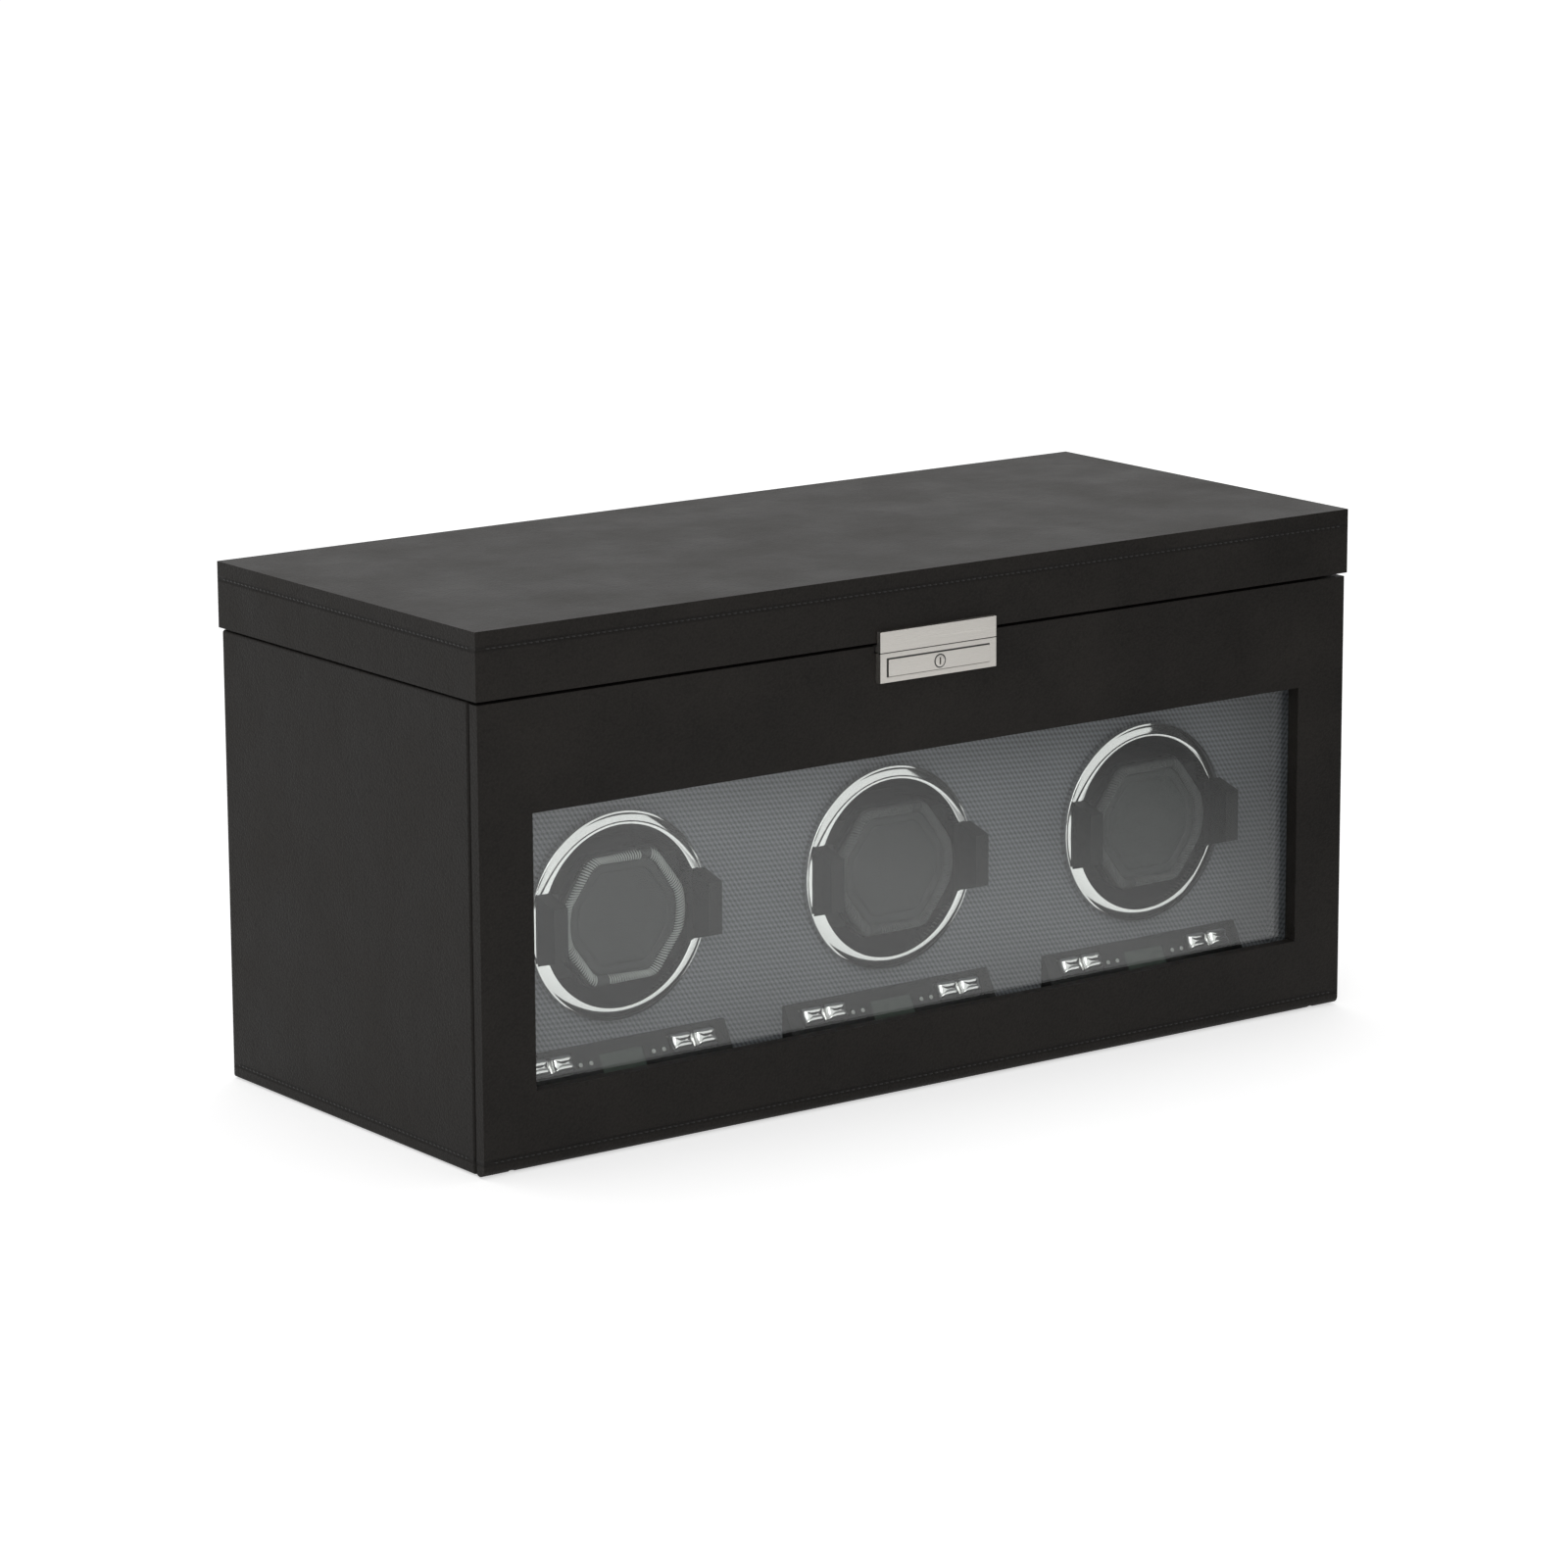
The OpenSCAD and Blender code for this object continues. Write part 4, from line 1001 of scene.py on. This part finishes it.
class WINDERBOX_OT_controls(bpy.types.Operator):
    """Finishes the control panels, displays and keys, and adds their indicator lights"""

    bl_idname = "winderbox.controls"
    bl_label = "Controls"

    def execute(self, context):
        dress(context, "control_panels", PANEL_BEVEL)
        dress(context, "lcd_windows", 0.00015, 2)
        for i in WINDERS:
            for side in SIDES:
                self.key(context, i, side)
        down, out, top_edge = panel_frame()
        for i in WINDERS:
            box_lo, box_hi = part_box(f"bezel_{i}")
            x = (box_lo.x + box_hi.x) / 2
            bm = bmesh.new()
            for across in LIGHTS_AT:
                self.lens(bm, Vector((x + across, 0, 0)) + top_edge + down * LIGHT_DROP, out)
            cloudy = finish_for("lens", context)
            object_from(f"indicator_lights_{i}", bm, "case", "smoke_plastic", context, cloudy)
        return {"FINISHED"}

    def key(self, context, i, side):
        """A rocker key: two chrome pads, each with two ribs, joined behind the panel and hung on a pin"""
        down, out, top_edge = panel_frame()
        node = f"rocker_{i}_{side}"
        lo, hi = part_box(node)
        centre = Vector(((lo.x + hi.x) / 2, 0, 0)) + top_edge + down * KEY_DROP
        half_w, half_h = KEY_HALF
        bm = bmesh.new()
        for hand in (-1, 1):
            middle = centre + RIGHT * hand * KEY_PITCH
            rings = []
            for deep, wide in ((-0.0028, 0.86), (-0.0020, 1.0), (0.0, 1.0)):
                base = middle + out * deep
                spots = [half_w * a * RIGHT + half_h * b * down for a, b in self.rim(40)]
                rings.append([base + wide * spot for spot in spots])
            for t in (0.97, 0.91, 0.83, 0.73, 0.62, 0.5, 0.38, 0.26, 0.14, 0.05):
                ring = []
                for a, b in self.rim(40):
                    u, v = a * t, b * t
                    crown = (max(0.0, 1 - abs(u) ** 5) * max(0.0, 1 - abs(v) ** 4)) ** 0.5
                    rib = 0.30 + 0.70 * math.sin(math.pi * min(1.0, abs(v) * 1.12)) ** 0.8
                    top = middle + out * KEY_DOME * crown * (0.55 + 0.45 * rib)
                    ring.append(top + half_w * u * RIGHT + half_h * v * down)
                rings.append(ring)
            loft(bm, rings, False, True)
        bridge, stem = (KEY_PITCH, -0.0002, -0.0018, 0.0028), (0.0014, -0.0018, -0.0041, 0.0038)
        for wide, near, far, high in (bridge, stem):
            corners = [
                centre + RIGHT * a * wide + out * b + down * c * high
                for b in (near, far) for a, c in ((-1, -1), (1, -1), (1, 1), (-1, 1))
            ]
            loft(bm, [corners[:4], corners[4:]], False, True)
        pin_depth, pin_half, pin_radius = 0.0032, 0.0055, 0.0009
        pin = [centre - out * pin_depth + down * z for z in (-pin_half, pin_half)]
        tube(bm, pin, pin_radius, 12, False, RIGHT)
        key = object_from(node + "_key", bm, node, "chrome", context)
        even_shading(key, 50)
        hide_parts(node)

    def rim(self, count):
        """Points round a rectangle with soft corners, from -1 to 1"""
        corner = 0.28
        return [tuple(math.copysign(abs(v) ** corner, v) for v in spot) for spot in circle(count)]

    def lens(self, bm, centre, out):
        """A small domed lens in a turned collar"""
        up = out.cross(RIGHT)
        profile = (
            (0.00110, -0.0003), (0.00110, 0.00015), (0.00095, 0.00028), (0.00082, 0.00018),
            (0.00078, 0.00030), (0.00060, 0.00055), (0.00035, 0.00070), (0.00010, 0.00074),
        )
        rings = []
        for r, h in profile:
            middle = centre + LIGHT_SIZE * out * h
            rings.append([middle + LIGHT_SIZE * r * (c * RIGHT + n * up) for c, n in circle(16)])
        loft(bm, rings, False, True)


# ---- operators: the storage ----


class WINDERBOX_OT_pillows(bpy.types.Operator):
    """Fills the watch pillows and pipes their ends"""

    bl_idname = "winderbox.pillows"
    bl_label = "Watch pillows"

    def execute(self, context):
        s = context.scene.winder_box_sizes
        lo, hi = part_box("pillow_1")
        middle, half = (lo + hi) / 2, (hi - lo) / 2
        shrink = 0.0022
        mesh = frame["nodes"]["pillow_1"].data.copy()
        mesh.name = "pillow_filled"
        for v in mesh.vertices:
            part = v.co - middle
            v.co = Vector([part[k] * (half[k] - shrink) / half[k] for k in range(3)])
        model = add_object(context, "pillow_model", mesh)
        remesh = model.modifiers.new("Even mesh", "REMESH")
        remesh.mode = "VOXEL"
        remesh.voxel_size = 0.004
        apply_modifiers(context, model)
        settle_cloth(context, model, 4.0, s.pillow_puff)
        soften(context, model)
        filled = model.data
        skin = surface(filled)
        seams = []
        for x in (-half.x + PIPING_INSET, half.x - PIPING_INSET):
            path = []
            for c, n in circle(72):
                way = Vector((0, c, n))
                path.append(skin.ray_cast(Vector((x, 0, 0)), way)[0] - way * 0.0002)
            seams.append(path)
        bpy.data.objects.remove(model)
        foot = -half.z + 0.0004
        crumple, pinch, pinch_width = 0.0005, 0.012, 0.0016
        for i in PILLOWS:
            box_lo, box_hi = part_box(f"pillow_{i}")
            centre = (box_lo + box_hi) / 2
            bm = bmesh.new()
            bm.from_mesh(filled)
            for v in bm.verts:
                fold = noise.noise(v.co * 55 + Vector((i * 3.1, 0, 0))) * crumple
                near = sum(math.exp(-(((v.co.x - path[0].x) / pinch_width) ** 2)) for path in seams)
                v.co = v.co * (1 - pinch * near) + v.co.normalized() * fold
                v.co.z = max(v.co.z, foot)
                v.co += centre
            pillow = object_from(f"pillow_{i}_filled", bm, f"pillow_{i}", "suede", context)
            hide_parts(f"pillow_{i}")
            bm = bmesh.new()
            for path in seams:
                tube(bm, [p + centre for p in path], s.piping, 8, True, RIGHT)
            object_from(f"pillow_{i}_piping", bm, f"pillow_{i}", "suede", context)
        return {"FINISHED"}


# ---- operator: the studio ----


class WINDERBOX_OT_studio(bpy.types.Operator):
    """Sets the pale floor, the soft light and the camera"""

    bl_idname = "winderbox.studio"
    bl_label = "Studio"

    def execute(self, context):
        st = context.scene.winder_box_studio
        context.scene.view_settings.view_transform = "Standard"
        self.floor(context, st)
        self.world(context, st)
        self.lamp(context, "top_light", (0.10, 0.45, 1.65), (0, 0, 0.1), (1.7, 1.3), st.top_light)
        self.lamp(context, "fill_light", (-1.5, -2.3, 1.25), (0, 0, 0.1), (1.7, 1.7), st.fill_light)
        self.flags(context)
        self.camera(context, st)
        return {"FINISHED"}

    def flags(self, context):
        """Dark cards that only polished metal and glass show, as painted dark reflections: one in front, one
        on the floor at the right
        """
        radius, low, tall = 1.5, 0.10, 0.75
        first, sweep, cards = -75, 160, 40
        rises_at, rises_over = 43, 4
        bm = bmesh.new()
        rows = []
        for k in range(cards + 1):
            a = math.radians(first + sweep * k / cards)
            high = low + tall * min(1.0, max(0.0, (math.degrees(a) - rises_at) / rises_over))
            rows.append([bm.verts.new((radius * math.sin(a), -radius * math.cos(a), z)) for z in (0.0, high)])
        for a, b in zip(rows, rows[1:]):
            bm.faces.new((a[0], b[0], b[1], a[1]))
        self.flag(context, "front_flag", bm, False)
        bm = bmesh.new()
        left, front, lift = 0.20, -0.097, 0.0006
        wide, deep, columns, lines = 0.12, 0.065, 10, 8
        grid = [
            [bm.verts.new((left + wide * i, front - deep * j, lift)) for j in range(lines + 1)]
            for i in range(columns + 1)
        ]
        for i in range(columns):
            for j in range(lines):
                bm.faces.new((grid[i][j], grid[i + 1][j], grid[i + 1][j + 1], grid[i][j + 1]))
        self.flag(context, "floor_flag", bm, True)

    def flag(self, context, name, bm, fades):
        """One dark card, seen only in reflections, which may fade out towards the left"""
        mesh = mesh_from(name, bm)
        flag = add_object(context, name, mesh)
        f = Finish(name + "_cloth", roughness=0.9, specular_ior_level=0.0)
        f.set("Base Color", f.tint(f.noise(0.1, 2), (0.02, 0.02, 0.02), 0.8, 1.2))
        if fades:
            across = f.add("ShaderNodeSeparateXYZ", inputs={0: f.place()})
            clear_at, full_at, darkest = 200, 470, 0.62
            amount = f.span(across, clear_at, full_at, 0, darkest)
            clear = f.add("ShaderNodeBsdfTransparent")
            shown = f.add("ShaderNodeMixShader", inputs={0: amount, 1: clear, 2: f.shader.outputs[0]})
            f.tree.links.new(shown, f.out.inputs[0])
        mesh.materials.append(f.material)
        flag.visible_camera = flag.visible_diffuse = flag.visible_shadow = flag.visible_volume_scatter = False

    def floor(self, context, st):
        """A pale floor without an edge, with a least brightness that rises away from the box"""
        bm = bmesh.new()
        rings = [[Vector((r * c, r * n, 0)) for c, n in circle(96)] for r in (0.4, 1.0, 2.5, 6.0, 12.0)]
        rows = loft(bm, rings, False)
        bm.faces.new(rows[0])
        bmesh.ops.recalc_face_normals(bm, faces=bm.faces)
        mesh = mesh_from("floor", bm)
        floor = add_object(context, "floor", mesh)
        f = Finish("floor_pale", roughness=0.9, specular_ior_level=0.0)
        f.set("Base Color", f.tint(f.noise(0.02, 2), (0.78, 0.78, 0.78), 0.995, 1.005))
        seen = ray_kinds(f.tree, *SEEN_RAYS)
        reach = f.add("ShaderNodeVectorMath", {"operation": "LENGTH"}, {0: f.place()}, 1)
        near, far = 450, 2600
        least = f.span(reach, near, far, st.near_glow, st.far_glow)
        strength = f.math("MULTIPLY", seen, least)
        glow = f.add("ShaderNodeEmission", inputs={"Color": (1, 1, 1, 1), "Strength": strength})
        whole = f.add("ShaderNodeAddShader", inputs={0: f.shader.outputs[0], 1: glow})
        f.tree.links.new(whole, f.out.inputs[0])
        mesh.materials.append(f.material)

    def world(self, context, st):
        """White to the eye and in reflections, and a soft even light on everything else"""
        world = bpy.data.worlds.new("studio")
        context.scene.world = world
        world.use_nodes = True
        tree = world.node_tree
        tree.nodes.clear()
        out = tree.nodes.new("ShaderNodeOutputWorld")
        both = tree.nodes.new("ShaderNodeMixShader")
        put(tree, both.inputs[0], ray_kinds(tree, *SEEN_RAYS))
        for socket, strength in ((1, st.ambient), (2, 1.0)):
            light = tree.nodes.new("ShaderNodeBackground")
            light.inputs["Color"].default_value = (1, 1, 1, 1)
            light.inputs["Strength"].default_value = strength
            tree.links.new(light.outputs[0], both.inputs[socket])
        tree.links.new(both.outputs[0], out.inputs[0])

    def lamp(self, context, name, place, target, size, power):
        """A soft rectangular light"""
        data = bpy.data.lights.new(name, "AREA")
        data.shape = "RECTANGLE"
        data.size, data.size_y = size
        data.energy = power
        lamp = add_object(context, name, data)
        lamp.location = place
        lamp.rotation_mode = "QUATERNION"
        lamp.rotation_quaternion = (Vector(target) - Vector(place)).to_track_quat("-Z", "Y")

    def camera(self, context, st):
        """The camera, placed by its turn, height and distance"""
        a, e, r = st.azimuth, st.elevation, st.roll
        back = Vector((math.sin(a) * math.cos(e), -math.cos(a) * math.cos(e), math.sin(e)))
        right = Vector((math.cos(a), math.sin(a), 0))
        up = back.cross(right)
        x_axis = math.cos(r) * right + math.sin(r) * up
        y_axis = -math.sin(r) * right + math.cos(r) * up
        data = bpy.data.cameras.new("camera")
        data.sensor_width = 36
        data.lens = st.lens
        data.clip_start, data.clip_end = 0.05, 50
        camera = add_object(context, "camera", data)
        spot = -st.across * x_axis - st.upward * y_axis + st.distance * back
        turn = Matrix((x_axis, y_axis, back)).transposed().to_4x4()
        camera.matrix_world = Matrix.Translation(spot) @ turn
        context.scene.camera = camera


class WINDERBOX_PT_panel(bpy.types.Panel):
    """Lists the pieces of the winder box"""

    bl_idname = "WINDERBOX_PT_panel"
    bl_label = "Winder Box"
    bl_space_type = "VIEW_3D"
    bl_region_type = "UI"
    bl_category = "Winder Box"

    def draw(self, context):
        for operator in OPERATORS:
            self.layout.operator(operator.bl_idname)
        for group, cls in GROUPS.items():
            box = self.layout.box()
            for name in cls.__annotations__:
                box.prop(getattr(context.scene, group), name)


OPERATORS = (
    WINDERBOX_OT_studio,
    WINDERBOX_OT_leather_case,
    WINDERBOX_OT_stitching,
    WINDERBOX_OT_lining,
    WINDERBOX_OT_lid_padding,
    WINDERBOX_OT_glazing,
    WINDERBOX_OT_lock,
    WINDERBOX_OT_hardware,
    WINDERBOX_OT_drums,
    WINDERBOX_OT_cuff_pads,
    WINDERBOX_OT_controls,
    WINDERBOX_OT_pillows,
)
GROUPS = {
    "winder_box_sizes": WinderBoxSizes,
    "winder_box_colours": WinderBoxColours,
    "winder_box_studio": WinderBoxStudio,
}


def register():
    for cls in (*GROUPS.values(), *OPERATORS, WINDERBOX_PT_panel):
        bpy.utils.register_class(cls)
    for name, cls in GROUPS.items():
        setattr(bpy.types.Scene, name, PointerProperty(type=cls))


def unregister():
    for name in GROUPS:
        delattr(bpy.types.Scene, name)
    for cls in (WINDERBOX_PT_panel, *reversed(OPERATORS), *reversed(GROUPS.values())):
        bpy.utils.unregister_class(cls)


def main():
    register()
    for operator in OPERATORS:
        group, name = operator.bl_idname.split(".")
        if getattr(getattr(bpy.ops, group), name)() != {"FINISHED"}:
            raise RuntimeError(f"{operator.bl_label} did not finish")


if __name__ == "__main__":
    main()
